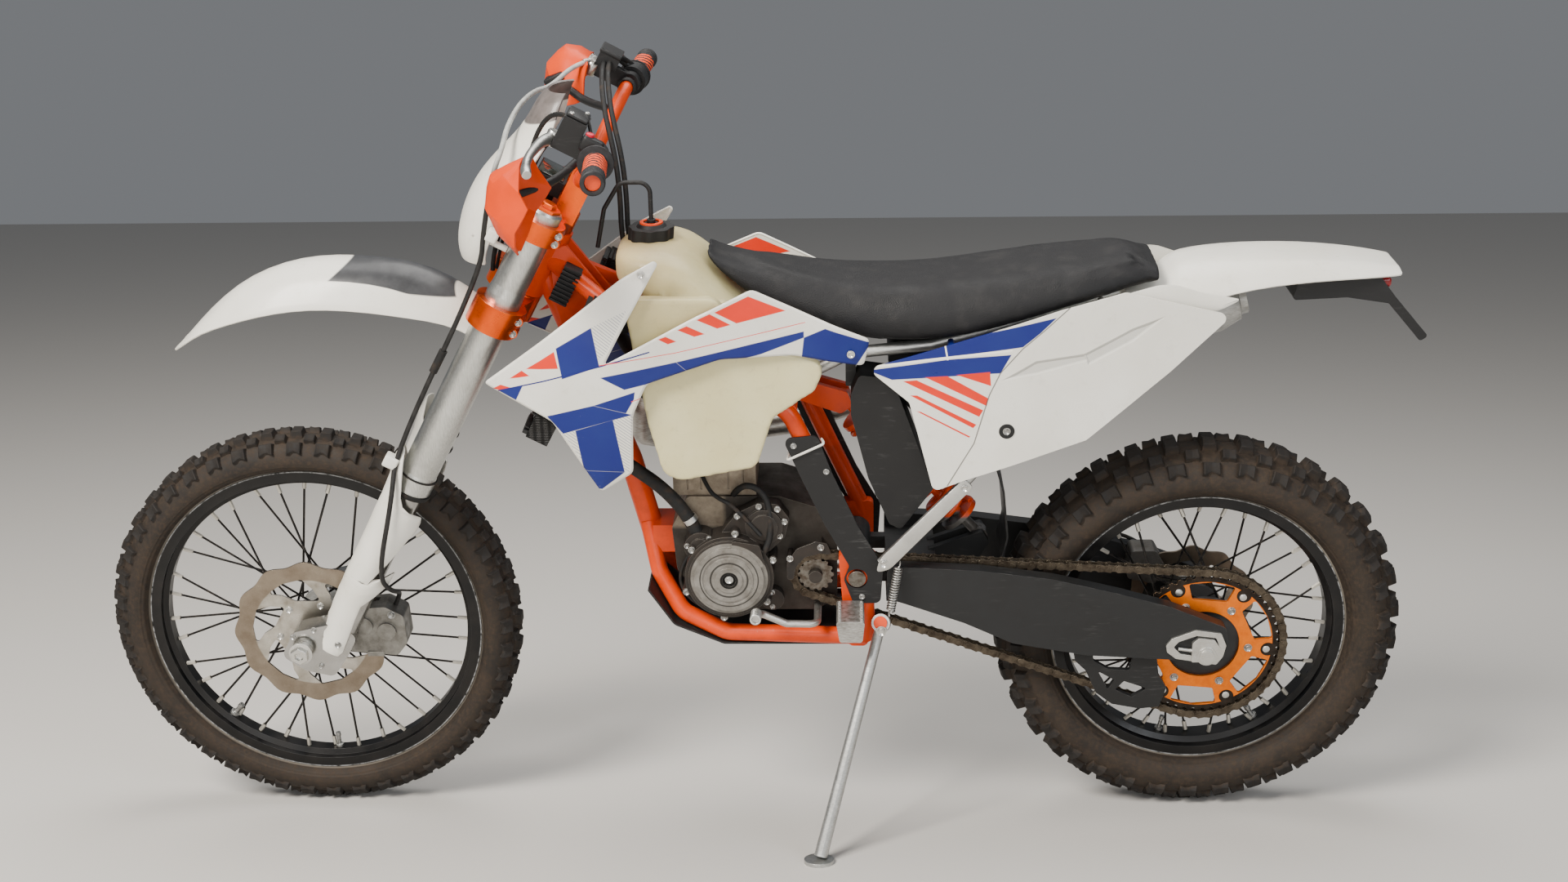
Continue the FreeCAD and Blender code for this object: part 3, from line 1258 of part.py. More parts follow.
def link_plate(start, end, y_range):
    """One side plate: rounded ends round two pins and a waist between them."""
    way = (end - start).normalize()
    up = V(-way.z, 0, way.x)
    points = []
    for centre, sign in ((end, 1), (start, -1)):
        for turn in (-75, -25, 25, 75):
            reach = way * (sign * PLATE_R * math.cos(math.radians(turn)))
            point = centre + reach + up * (sign * PLATE_R * math.sin(math.radians(turn)))
            points.append((point.x, point.z))
        waist = (start + end) * 0.5 + up * (sign * PLATE_WAIST)
        points.append((waist.x, waist.z))
    return side_prism(points, CHAIN_Y + y_range[0], CHAIN_Y + y_range[1])


loop = Part.Wire(chain_path(0))
links = 2 * int(round(loop.Length / CHAIN_PITCH / 2))
joints = loop.discretize(Number=links + 1)[:-1]
chain_parts = []
for k, here in enumerate(joints):
    after = joints[(k + 1) % links]
    near, far = INNER_PLATE if k % 2 == 0 else OUTER_PLATE
    chain_parts.append(link_plate(here, after, (near, far)))
    chain_parts.append(link_plate(here, after, (-far, -near)))
    half_roller = V(0, INNER_PLATE[0] + 0.5, 0)
    chain_parts.append(hex_rod(here - half_roller, here + half_roller, ROLLER_R))
    half_pin = V(0, PIN_REACH, 0)
    chain_parts.append(hex_rod(here - half_pin, here + half_pin, PIN_R))
NODES["drive_chain"] = fused(chain_parts)
front_tip = FRONT_PITCH_R - ROLLER_R - 0.8
NODES["front_sprocket"] = toothed_ring(
    FRONT_SPROCKET, SPROCKET_Y, front_tip, front_tip - 4.0, FRONT_TEETH, 11 + SEAT_GAP,
)
GUIDE = [
    (1268, 345), (1300, 342), (1302, 318), (1328, 302), (1362, 300), (1370, 338), (1404, 336), (1410, 292),
    (1424, 268), (1414, 232), (1382, 228), (1336, 237), (1309, 258), (1290, 300), (1272, 318),
]
GUIDE_WINDOWS = (
    [(1308, 300), (1338, 282), (1328, 264)],
    [(1340, 264), (1354, 280), (1393, 266), (1368, 250)],
)
guide = side_prism(GUIDE, -102, -92.5, 4)
for window in GUIDE_WINDOWS:
    guide = guide.cut(side_prism(window, -103, -92, 2))
NODES["chain_guide"] = lying_on(guide, swingarm, V(0, 0, -1))

# Foot controls
PEG_OUTLINE = [(880, 441), (926, 441), (922, 404), (886, 404)]
peg = side_prism(PEG_OUTLINE, -198, -GUARD_Y[1] - SEAT_GAP, 5)
peg_root = box(898, 924, -124, -BEAM_Y - BEAM_R - SEAT_GAP, 399, 435)
NODES["footpegs"] = pair(fused([peg, peg_root]))
SHIFT_PATH = [
    (850, CASE_LEFT - SEAT_GAP, 406), (850, -138, 406), (800, -140, 408), (757, -140, 428), (752, -178, 437),
]
PEDAL_PATH = [
    (908, BEAM_Y + BEAM_R + SEAT_GAP, 366), (902, 134, 370), (850, 134, 384), (760, 134, 438),
    (748, 172, 450),
]
NODES["shift_lever"] = pipe(SHIFT_PATH, 6, 14)
NODES["brake_pedal"] = pipe(PEDAL_PATH, 6, 14)

# Rear brake caliper
REAR_CALIPER = [(1372, 395), (1420, 385), (1440, 410), (1420, 446), (1378, 446)]
rear_caliper = side_prism(REAR_CALIPER, 46, ARM_IN - SEAT_GAP, 8)
rear_slot = disc_y(REAR_AXLE.x, REAR_AXLE.z, REAR_DISC_Y[0] - MOVE_GAP, REAR_DISC_Y[1] + MOVE_GAP, 116)
NODES["rear_brake_caliper"] = rear_caliper.cut(rear_slot)

# Side stand
eye = rod(STAND_PIVOT - STAND_AXIS * EYE_HALF, STAND_PIVOT + STAND_AXIS * EYE_HALF, 15)
leg = rod(STAND_PIVOT + leg_way * 8, FOOT - leg_way * 10, 8.5, 11.0)
foot_pad = Part.makeCylinder(24, 6, FOOT, FLOOR_WAY)
stand_leg = fused([eye, leg, foot_pad])
pin_hole = rod(STAND_PIVOT - STAND_AXIS * 30, STAND_PIVOT + STAND_AXIS * 30, STAND_PIN_R + RUN_GAP)
stand_leg = stand_leg.cut(pin_hole)
NODES["side_stand"] = stand_leg


# Lean onto the stand, stand on the floor and centre the box
def leaned(shape):
    moved = shape.copy()
    moved.rotate(V(0, 0, 0), V(1, 0, 0), LEAN)
    moved.translate(V(0, 0, FLOOR_LIFT))
    return moved


placed = {name: leaned(shape) for name, shape in NODES.items()}
whole = FreeCAD.BoundBox()
for shape in placed.values():
    whole.add(shape.optimalBoundingBox(False, False))
shift_to_origin = V(-(whole.XMin + whole.XMax) / 2, -(whole.YMin + whole.YMax) / 2, -whole.ZMin)

os.makedirs("parts", exist_ok=True)
for name, shape in placed.items():
    shape.translate(shift_to_origin)
    shape.exportStep("parts/" + name + ".step")
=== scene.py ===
import json
import math

import bpy
from mathutils import Matrix, Vector


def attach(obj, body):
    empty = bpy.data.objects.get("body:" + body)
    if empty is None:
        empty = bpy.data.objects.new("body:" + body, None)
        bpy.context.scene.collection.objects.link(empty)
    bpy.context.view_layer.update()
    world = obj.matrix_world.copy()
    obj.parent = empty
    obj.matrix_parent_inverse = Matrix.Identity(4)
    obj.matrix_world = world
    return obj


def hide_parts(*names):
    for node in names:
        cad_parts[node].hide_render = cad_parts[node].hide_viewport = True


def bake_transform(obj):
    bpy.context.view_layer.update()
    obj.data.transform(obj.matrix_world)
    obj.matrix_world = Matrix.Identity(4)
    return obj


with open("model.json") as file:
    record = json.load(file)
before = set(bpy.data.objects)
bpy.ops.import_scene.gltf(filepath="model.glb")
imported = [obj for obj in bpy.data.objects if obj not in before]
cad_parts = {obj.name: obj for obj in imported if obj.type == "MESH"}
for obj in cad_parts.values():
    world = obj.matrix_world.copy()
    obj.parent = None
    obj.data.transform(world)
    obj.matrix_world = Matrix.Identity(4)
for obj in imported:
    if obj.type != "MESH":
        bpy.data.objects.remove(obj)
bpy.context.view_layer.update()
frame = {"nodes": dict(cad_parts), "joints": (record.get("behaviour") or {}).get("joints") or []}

# An enduro motorcycle leaning on its side stand.
# Pieces are drawn upright in millimetres: x runs back from the front axle, y to the right, z up.
# settle() leans them onto the stand and brings them into the frame, in metres.

MM = 0.001

# The bike's own measures, in millimetres and degrees
LEAN = math.radians(12.3)
RAKE = math.radians(28.2)
WHEELBASE = 1482.0
LEG_Y = 97
FORK_OFFSET = 44

# Each wheel: its axle, its tyre's radius, crown radius, rim and tread depth, and the radius of its disc's carrier;
# half the carcass's section as (y, radius), and its rows of blocks as count, shift, lean, width, length and notch
FRONT = {
    "name": "front", "x": 0.0, "z": 347.983, "radius": 348.5, "crown": 50.0, "rim": 280.5, "tread": 11.0,
    "carrier": 98,
    "half": [(0, 337.6), (12, 336.2), (24, 331.6), (33.5, 324), (39.8, 314), (42, 303.5), (40, 293.5), (34, 286),
             (27, 283.2), (22.5, 283.6), (20.2, 281), (20, 268)],
    "rows": ((44, 0.0, 0, 26, 20, 0.0), (44, 0.5, 26, 16, 19, 2.5), (44, 0.0, 52, 23, 26, 7.0)),
}
REAR = {
    "name": "rear", "x": WHEELBASE, "z": 338.5, "radius": 338.5, "crown": 72.0, "rim": 242.5, "tread": 14.0,
    "carrier": 78,
    "half": [(0, 323.6), (16, 321.9), (32, 316.6), (45, 308), (55, 296), (60.5, 281), (59, 266), (51, 253),
             (40, 246.5), (32, 246), (28.5, 243.6), (28, 231)],
    "rows": ((34, 0.0, 12, 25, 24, 0.0), (34, 0.5, 35, 20, 25, 3.0), (34, 0.0, 57, 24, 30, 7.0)),
}

# The photograph's camera, in pixels of its 1920 px width and in degrees
CAMERA_AT = (0.15691, -3.040376, 1.23199)
YAW = math.radians(-1.752)
PITCH = math.radians(10.35)
ROLL = math.radians(-0.556)
FOCAL_PX = 2411.537
PHOTO_WIDTH_PX = 1920.0
SENSOR_MM = 36.0

# Upright millimetres to the leaning bike's place in metres, held by the rear wheel's axle
REAR_AXLE_AT = next(Vector(joint["pos_m"]) for joint in frame["joints"] if joint["name"] == "rear_wheel_spin")
LEANED = Matrix.Rotation(LEAN, 4, "X") @ Matrix.Scale(MM, 4)
LEANED = Matrix.Translation(REAR_AXLE_AT - LEANED @ Vector((REAR["x"], 0, REAR["z"]))) @ LEANED
# Steering pieces are drawn along the fork: a runs back from the leg, y to the right, s up it
FORK = Matrix.Translation((FORK_OFFSET * math.cos(RAKE), 0, FRONT["z"] - FORK_OFFSET * math.sin(RAKE)))
FORK = FORK @ Matrix.Rotation(RAKE, 4, "Y")


# Modelling
def only(obj):
    bpy.ops.object.select_all(action="DESELECT")
    obj.select_set(True)
    bpy.context.view_layer.objects.active = obj


def edit(obj, action="SELECT"):
    only(obj)
    bpy.ops.object.mode_set(mode="EDIT")
    bpy.ops.mesh.select_all(action=action)


def done():
    bpy.ops.object.mode_set(mode="OBJECT")


def apply_modifiers(obj):
    only(obj)
    for modifier in list(obj.modifiers):
        bpy.ops.object.modifier_apply(modifier=modifier.name)


def add_modifier(obj, kind, **settings):
    modifier = obj.modifiers.new(kind.lower(), kind)
    for key, value in settings.items():
        setattr(modifier, key, value)
    return modifier


def bevel(obj, width, segments=2, angle=35):
    add_modifier(
        obj, "BEVEL", width=width, segments=segments, limit_method="ANGLE",
        angle_limit=math.radians(angle), harden_normals=False,
    )
    return obj


def bevelled(obj, width, segments=2, angle=35):
    """The piece with its edges broken, with no modifier left on it."""
    apply_modifiers(bevel(obj, width, segments, angle))
    return obj


def placed(obj, matrix):
    obj.data.transform(matrix)
    return obj


def mirror(obj):
    """Turns a piece of the left side into its right twin."""
    placed(obj, Matrix.Scale(-1, 4, (0, 1, 0)))
    obj.data.flip_normals()
    return obj


def face_out(obj):
    edit(obj)
    bpy.ops.mesh.normals_make_consistent(inside=False)
    done()
    return obj


def join(objects):
    bpy.ops.object.select_all(action="DESELECT")
    for obj in objects:
        obj.select_set(True)
    bpy.context.view_layer.objects.active = objects[0]
    bpy.ops.object.join()
    return bpy.context.object


def repeated(obj, matrices):
    """Copies of a shape at each place, joined into one; the first shape is used up."""
    apply_modifiers(obj)
    copies = []
    for matrix in matrices:
        twin = obj.copy()
        twin.data = obj.data.copy()
        bpy.context.scene.collection.objects.link(twin)
        copies.append(placed(twin, matrix))
    bpy.data.objects.remove(obj)
    return join(copies)


def register(obj, name, body, finish, stands_for=()):
    """Names a piece, gives it its finish and lets it ride on its body, if it has one."""
    obj.name = name
    obj.data.name = name
    obj.data.materials.clear()
    obj.data.materials.append(finish)
    if body:
        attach(obj, body)
    if stands_for:
        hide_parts(*stands_for)
    return obj


def settle(obj, name, body, finish, matrix=None, smooth=35, stands_for=()):
    """Leans a piece into its place and registers it."""
    apply_modifiers(obj)
    place = LEANED if matrix is None else LEANED @ matrix
    obj.data.transform(obj.matrix_world)
    obj.matrix_world = Matrix.Identity(4)
    obj.data.transform(place)
    only(obj)
    bpy.ops.object.shade_smooth_by_angle(angle=math.radians(smooth))
    return register(obj, name, body, finish, stands_for)


def outline_face(points):
    """A flat face with the outline of (x, z) points, facing the bike's left."""
    bpy.ops.mesh.primitive_circle_add(vertices=len(points), fill_type="NGON")
    obj = bpy.context.object
    for vertex, (x, z) in zip(obj.data.vertices, points):
        vertex.co = (x, 0, z)
    if obj.data.polygons[0].normal.y > 0:
        obj.data.flip_normals()
    return obj


def rounded(points, radius, steps=3):
    """The outline with each corner turned into an arc of about the radius."""
    made = []
    for i, here in enumerate(points):
        here = Vector(here)
        before = Vector(points[i - 1]) - here
        after = Vector(points[(i + 1) % len(points)]) - here
        reach = min(radius, 0.45 * before.length, 0.45 * after.length)
        start, end = here + before.normalized() * reach, here + after.normalized() * reach
        for k in range(steps + 1):
            t = k / steps
            made.append(tuple(start * (1 - t) ** 2 + here * 2 * t * (1 - t) + end * t ** 2))
    return made


def between(table, x):
    """A value read off a table of (x, value) rows."""
    if x <= table[0][0]:
        return table[0][1]
    for (x0, v0), (x1, v1) in zip(table, table[1:]):
        if x <= x1:
            return v0 + (v1 - v0) * (x - x0) / (x1 - x0)
    return table[-1][1]


def slice_at(obj, point, normal):
    """Cuts edges into the whole mesh along a plane."""
    edit(obj)
    bpy.ops.mesh.bisect(plane_co=point, plane_no=normal)
    done()


def panel(outline, depth, thickness, rim, drop, step, creases=()):
    """A moulded plastic panel: an outline seen from the left with a rolled rim, bent to a depth (x, z)."""
    obj = outline_face(outline)
    edit(obj)
    bpy.ops.mesh.inset(thickness=rim, depth=0)
    done()
    inner = {i for p in obj.data.polygons if p.select for i in p.vertices}
    obj.vertex_groups.new(name="inner").add(list(inner), 1.0, "REPLACE")
    for axis, way, apart in ((0, (1, 0, 0), step), (2, (0, 0, 1), 2 * step)):
        places = [vertex.co[axis] for vertex in obj.data.vertices]
        cut = min(places) + apart
        while cut < max(places):
            slice_at(obj, Vector(way) * cut, way)
            cut += apart
    for start, end in creases:
        slice_at(obj, (start[0], 0, start[1]), (start[1] - end[1], 0, end[0] - start[0]))
    for vertex in obj.data.vertices:
        inside = vertex.groups[0].weight if vertex.groups else 0.0
        vertex.co.y = -depth(vertex.co.x, vertex.co.z) + drop * (1 - inside)
    obj.vertex_groups.clear()
    add_modifier(obj, "SOLIDIFY", thickness=thickness, offset=-1, use_even_offset=True)
    return bevel(obj, 0.9, 2, 40)


def sheet(rows):
    """A sheet of quads through rows of points."""
    bpy.ops.mesh.primitive_grid_add(x_subdivisions=len(rows[0]) - 1, y_subdivisions=len(rows) - 1)
    obj = bpy.context.object
    for vertex, point in zip(obj.data.vertices, [point for row in rows for point in row]):
        vertex.co = point
    return face_out(obj)


def turned(points, steps, centre=(0, 0, 0), axis=(0, 0, 1)):
    """A closed outline turned once about an axis."""
    bpy.ops.mesh.primitive_circle_add(vertices=len(points), fill_type="NOTHING")
    obj = bpy.context.object
    for vertex, point in zip(obj.data.vertices, points):
        vertex.co = point
    edit(obj)
    bpy.ops.mesh.spin(steps=steps, angle=2 * math.pi, center=centre, axis=axis)
    bpy.ops.mesh.select_all(action="SELECT")
    bpy.ops.mesh.remove_doubles(threshold=0.01)
    bpy.ops.mesh.delete_loose()
    done()
    return face_out(obj)


def lathe(section, steps=24):
    """A turned piece about the z axis from (z, radius) points, closed at both ends."""
    return turned([(radius, 0, z) for z, radius in section], steps)


def cylinder(start, end, radius, sides, end_radius=None):
    """A round bar from one point to another."""
    start, end = Vector(start), Vector(end)
    bpy.ops.mesh.primitive_cone_add(
        vertices=sides, radius1=radius, radius2=radius if end_radius is None else end_radius,
        depth=(end - start).length,
    )
    return placed(bpy.context.object, facing((start + end) / 2, end - start))


def block(low, high):
    bpy.ops.mesh.primitive_cube_add(size=1)
    low, high = Vector(low), Vector(high)
    matrix = Matrix.Translation((low + high) / 2) @ Matrix.Diagonal((*(high - low), 1))
    return placed(bpy.context.object, matrix)


def cable(points, radius, sides=5, radii=None, cuts=6):
    """A round line along a smooth curve near the points; its thickness changes along it where radii are given."""
    line = bpy.data.curves.new("line", "CURVE")
    line.dimensions = "3D"
    spline = line.splines.new("NURBS")
    spline.points.add(len(points) - 1)
    for k, point in enumerate(points):
        spline.points[k].co = (*point, 1)
        if radii:
            spline.points[k].radius = radii[k]
    spline.order_u = 3
    spline.use_endpoint_u = True
    spline.resolution_u = cuts
    line.bevel_depth = radius
    line.bevel_resolution = sides
    line.use_fill_caps = True
    obj = bpy.data.objects.new("line", line)
    bpy.context.scene.collection.objects.link(obj)
    only(obj)
    bpy.ops.object.convert(target="MESH")
    return bpy.context.object


def forged(points, radii):
    """A bar whose thickness changes along its smooth line."""
    return cable(points, 1.0, radii=radii, cuts=8)


def facing(point, way):
    """Stands a shape drawn along +z on a point, looking along a direction."""
    return Matrix.Translation(point) @ Vector(way).to_track_quat("Z", "Y").to_matrix().to_4x4()


# Finishes
def shade(text):
    """A colour written as on screen, in the renderer's own values."""
    parts = [int(text[k:k + 2], 16) / 255 for k in (0, 2, 4)]
    return (*(part / 12.92 if part <= 0.04045 else ((part + 0.055) / 1.055) ** 2.4 for part in parts), 1.0)


class Term:
    """A value or a colour in a finish's nodes, worked with by the usual signs."""

    def __init__(self, paint, socket):
        self.paint = paint
        self.socket = socket

    def __add__(self, other):
        return self.paint.math("ADD", self, other)

    def __sub__(self, other):
        return self.paint.math("SUBTRACT", self, other)

    def __mul__(self, other):
        return self.paint.math("MULTIPLY", self, other)

    def __or__(self, other):
        return self.paint.math("MAXIMUM", self, other)

    def __abs__(self):
        return self.paint.math("ABSOLUTE", self)

    def wave(self):
        return self.paint.math("SINE", self)

    def root(self):
        return self.paint.math("SQRT", self)

    def ramp(self, low, high, start=0.0, end=1.0):
        return self.paint.node("MapRange", {0: self, 1: low, 2: high, 3: start, 4: end})

    def tints(self, low, high, first, second):
        """One colour where the value is low, another where it is high."""
        return self.paint.mix(self.ramp(low, high), first, second)

    def toward(self, share, tint):
        """The colour turned by a share towards another."""
        return self.paint.mix(share, self, tint)


class Paint:
    """One procedural finish, drawn on the object's own coordinates in the bike's upright millimetres."""

    def __init__(self, name, rough, metal=0.0, coat=0.0, specular=0.32):
        self.finish = bpy.data.materials.new(name)
        self.finish.use_nodes = True
        self.tree = self.finish.node_tree
        self.shader = self.tree.nodes["Principled BSDF"]
        self.shader.inputs["Roughness"].default_value = rough
        self.shader.inputs["Metallic"].default_value = metal
        self.shader.inputs["Coat Weight"].default_value = coat
        self.shader.inputs["Specular IOR Level"].default_value = specular
        self.place = self.node("Mapping", {
            "Vector": self.node("TexCoord", {}, "Object"), "Location": LEANED.inverted().to_translation(),
            "Rotation": (-LEAN, 0, 0), "Scale": (1 / MM, 1 / MM, 1 / MM),
        })
        self.x, self.y, self.z = (self.node("SeparateXYZ", {0: self.place}, k) for k in range(3))
        self.normal = None

    def put(self, value, socket):
        if isinstance(value, Term):
            self.tree.links.new(value.socket, socket)
        else:
            socket.default_value = shade(value) if isinstance(value, str) else value

    def node(self, kind, inputs, out=0, **settings):
        """Adds a node with its settings and what goes into it, and gives one of its outputs."""
        node = self.tree.nodes.new("ShaderNode" + kind)
        for key, value in settings.items():
            setattr(node, key, value)
        for key, value in inputs.items():
            self.put(value, node.inputs[key])
        return Term(self, node.outputs[out])

    def math(self, kind, *values):
        return self.node("Math", dict(enumerate(values)), operation=kind)

    def dot(self, first, second):
        return self.node("VectorMath", {0: first, 1: second}, "Value", operation="DOT_PRODUCT")

    def mix(self, share, first, second):
        return self.node("Mix", {0: share, 6: first, 7: second}, 2, data_type="RGBA")

    def noise(self, size, detail=4.0, rough=0.55, stretch=None):
        """Noise from 0 to 1 whose features are about the size in millimetres."""
        where = self.place
        if stretch:
            where = self.node("VectorMath", {0: where, 1: stretch}, operation="MULTIPLY")
        return self.node("TexNoise", {"Vector": where, "Scale": 1.0 / size, "Detail": detail, "Roughness": rough})

    def cells(self, size):
        return self.node("TexVoronoi", {"Vector": self.place, "Scale": 1.0 / size}, "Distance", feature="F1")

    def square(self, x, z):
        """The squared distance from a point seen from the side."""
        across, up = self.x - x, self.z - z
        return across * across + up * up

    def from_axle(self, wheel):
        return self.square(wheel["x"], wheel["z"]).root()

    def colour(self, value):
        self.put(value, self.shader.inputs["Base Color"])

    def rough(self, value, low, high, start, end):
        self.put(value.ramp(low, high, start, end), self.shader.inputs["Roughness"])

    def shape(self, normal):
        self.normal = normal
        self.put(normal, self.shader.inputs["Normal"])

    def bump(self, height, depth):
        """Raises the surface by the height, from 0 to 1, times the depth in millimetres."""
        inputs = {"Strength": 1.0, "Distance": depth * MM, "Height": height}
        if self.normal is not None:
            inputs["Normal"] = self.normal
        self.shape(self.node("Bump", inputs))

    def soft_edges(self, radius):
        """Rounds sharp edges in the shading, and gives a mask of where they are."""
        self.shape(self.node("Bevel", {"Radius": radius * MM}, samples=4))
        return self.dot(self.normal, self.node("NewGeometry", {}, "Normal")).ramp(0.995, 0.9)

    def inside(self, points, soft=0.5):
        """1 inside a convex shape of (x, z) points seen from the side, 0 outside it."""
        pairs = list(zip(points, points[1:] + points[:1]))
        turn = 1 if sum(a[0] * b[1] - b[0] * a[1] for a, b in pairs) > 0 else -1
        least = None
        for a, b in pairs:
            way = Vector((b[0] - a[0], b[1] - a[1])).normalized() * turn
            reach = self.dot(self.place, (-way.y, 0.0, way.x)) - (-way.y * a[0] + way.x * a[1])
            least = reach if least is None else self.math("MINIMUM", least, reach)
        return least.ramp(-soft, soft)

    def any_of(self, shapes, soft=0.5):
        """1 inside any of the convex shapes."""
        masks = [self.inside(shape, soft) for shape in shapes]
        for mask in masks[1:]:
            masks[0] = masks[0] | mask
        return masks[0]


# Colours as they look on the bike
WHITE = "dedcd4"
BLUE = "0a1766"
RED_ORANGE = "dc2806"
ORANGE = "d84000"
DEEP_ORANGE = "c23600"
CREAM = "cfc79b"
TANK_BROWN = "a98a5c"
DUST = "7a6048"
LINE_WHITE = "f0ede4"


def scuffed_black(name, tint, rough, scratch=0.5):
    paint = Paint(name, rough)
    edge, cloud = paint.soft_edges(0.9), paint.noise(60, 5, 0.6)
    streaks = paint.noise(9, 3, 0.7, stretch=(0.22, 1.0, 1.5))
    scuff = streaks.ramp(0.56, 0.75) * cloud.ramp(0.45, 0.7) * (scratch * 0.35)
    worn = edge * paint.noise(14).ramp(0.45, 0.75) * 0.45
    paint.colour(cloud.tints(0.3, 0.75, tint, "181818").toward(scuff | worn, "8d8c8a"))
    paint.rough(cloud, 0.2, 0.8, rough - 0.08, min(rough + 0.18, 1))
    paint.bump(paint.noise(0.9, 2, 0.5), 0.05)
    return paint.finish


def painted_orange():
    """Powder coat, chipped low down and on its edges."""
    paint = Paint("orange_powder_coat", 0.36)
    edge = paint.soft_edges(0.8)
    chips = paint.noise(5, 5, 0.75).ramp(0.66, 0.70) * (paint.z.ramp(430, 380) | edge * 0.6)
    grime = paint.noise(30, 5, 0.65).ramp(0.5, 0.8) * 0.35
    base = paint.noise(90, 4).tints(0.3, 0.7, ORANGE, DEEP_ORANGE).toward(grime, "5b2c12")
    paint.colour(base.toward(chips, "9b9287"))
    paint.rough(paint.noise(40, 5), 0.2, 0.8, 0.24, 0.46)
    return paint.finish


def moulded_orange():
    paint = Paint("orange_plastic", 0.42, specular=0.25)
    paint.colour(paint.noise(50, 4).tints(0.3, 0.7, "d64000", "c63800"))
    paint.rough(paint.noise(25, 5), 0.2, 0.8, 0.34, 0.5)
    paint.bump(paint.noise(0.8, 2), 0.03)
    return paint.finish


def anodised_orange():
    paint = Paint("orange_anodised_alloy", 0.3, metal=0.85)
    edge = paint.soft_edges(0.7)
    paint.colour(paint.noise(40).tints(0.3, 0.7, "f0600c", "d44a06").toward(edge * 0.5, "ffb070"))
    paint.rough(paint.noise(18, 5), 0.2, 0.8, 0.22, 0.4)
    return paint.finish


def bare_alloy(name, tint, rough, dirt=0.3, grain=(0.2, 0.2, 3.0)):
    paint = Paint(name, rough, metal=0.95)
    edge, lines, cloud = paint.soft_edges(0.8), paint.noise(1.6, 2, 0.6, stretch=grain), paint.noise(35, 5, 0.6)
    base = lines.tints(0.3, 0.7, tint, "c9cac8").toward(cloud.ramp(0.5, 0.75) * dirt, "5a5148")
    paint.colour(base.toward(edge * 0.4, "f2f2ee"))
    paint.rough(cloud, 0.25, 0.75, rough - 0.06, rough + 0.16)
    paint.bump(lines, 0.02)
    return paint.finish


def cast_metal(name, tint, dirt_tint, rough, metal):
    paint = Paint(name, rough, metal=metal)
    edge, grain, cloud = paint.soft_edges(1.2), paint.noise(1.2, 3, 0.6), paint.noise(28, 6, 0.65)
    paint.colour(cloud.tints(0.32, 0.78, tint, dirt_tint).toward(edge * 0.35, "a8a298"))
    paint.rough(cloud, 0.3, 0.7, rough - 0.12, rough + 0.2)
    paint.bump(grain, 0.12)
    paint.bump(cloud, 0.25)
    return paint.finish


def plain_steel():
    paint = Paint("worn_steel", 0.35, metal=1.0)
    edge, cloud = paint.soft_edges(0.4), paint.noise(12, 6, 0.65)
    paint.colour(cloud.tints(0.4, 0.65, "77736c", "4e4237").toward(edge * 0.5, "cfcac0"))
    paint.rough(cloud, 0.3, 0.7, 0.28, 0.55)
    return paint.finish


def chain_steel():
    paint = Paint("oiled_chain", 0.42, metal=0.9)
    edge, cloud = paint.soft_edges(0.3), paint.noise(14, 6, 0.7)
    paint.colour(cloud.tints(0.4, 0.65, "5c5347", "362e26").toward(edge * 0.5, "a19684"))
    paint.rough(cloud, 0.3, 0.7, 0.35, 0.6)
    return paint.finish


def white_plastic(name="white_plastic"):
    """White plastic as a paint to draw on."""
    paint = Paint(name, 0.32, coat=0.08)
    paint.soft_edges(0.8)
    grime = paint.noise(22, 6, 0.7).ramp(0.56, 0.82) * 0.28
    paint.base = paint.noise(140, 4, 0.55).tints(0.3, 0.7, WHITE, "d2cfc4").toward(grime, "9c9482")
    paint.colour(paint.base)
    paint.rough(paint.noise(50, 5), 0.2, 0.8, 0.24, 0.44)
    paint.bump(paint.noise(160, 2), 0.5)
    return paint


def plain_white():
    return white_plastic().finish


def mask_finish():
    """White plate with a smoky screen along its top."""
    paint = white_plastic("mask_white_and_smoke")
    smoke = paint.noise(18).tints(0.3, 0.7, "6d6663", "544e4b")
    paint.colour(paint.base.toward((paint.z + paint.x * -0.25).ramp(1102, 1104), smoke))
    return paint.finish


def fork_silver():
    paint = Paint("fork_tube_alloy", 0.3, metal=0.95)
    paint.soft_edges(0.6)
    lines, cloud = paint.noise(3.0, 2, 0.6, stretch=(2.0, 2.0, 0.15)), paint.noise(55, 5, 0.6)
    paint.colour(lines.tints(0.3, 0.7, "b3b4b0", "cfd0cc").toward(cloud.ramp(0.5, 0.75) * 0.35, "8f8d85"))
    paint.rough(cloud, 0.25, 0.75, 0.26, 0.42)
    return paint.finish


def chrome_tube():
    paint = Paint("hard_chrome", 0.18, metal=1.0)
    cloud = paint.noise(30, 5)
    paint.colour(cloud.tints(0.3, 0.8, "b4b4b2", "9d9b96"))
    paint.rough(cloud, 0.3, 0.7, 0.14, 0.3)
    return paint.finish


def rubber(name, tint, dust=0.2):
    paint = Paint(name, 0.7)
    paint.soft_edges(0.5)
    cloud = paint.noise(18, 5, 0.6)
    paint.colour(paint.mix(cloud.ramp(0.5, 0.75) * dust, tint, DUST))
    paint.rough(cloud, 0.3, 0.7, 0.55, 0.85)
    paint.bump(paint.noise(0.8, 2), 0.06)
    return paint.finish


def disc_steel(wheel):
    """A swept steel ring on a paler carrier."""
    paint = Paint(wheel["name"] + "_disc_steel", 0.28, metal=1.0)
    paint.soft_edges(0.3)
    cloud = paint.noise(30, 5, 0.6)
    swept = cloud.tints(0.35, 0.7, "8d8375", "6f6254").toward(paint.noise(2.0, 3, 0.6) * 0.4, "a89a8a")
    carrier = cloud.tints(0.35, 0.7, "c3bfb6", "8f887c")
    edge = wheel["carrier"]
    paint.colour(swept.toward(paint.from_axle(wheel).ramp(edge, edge - 2), carrier))
    paint.rough(cloud, 0.3, 0.7, 0.25, 0.45)
    return paint.finish


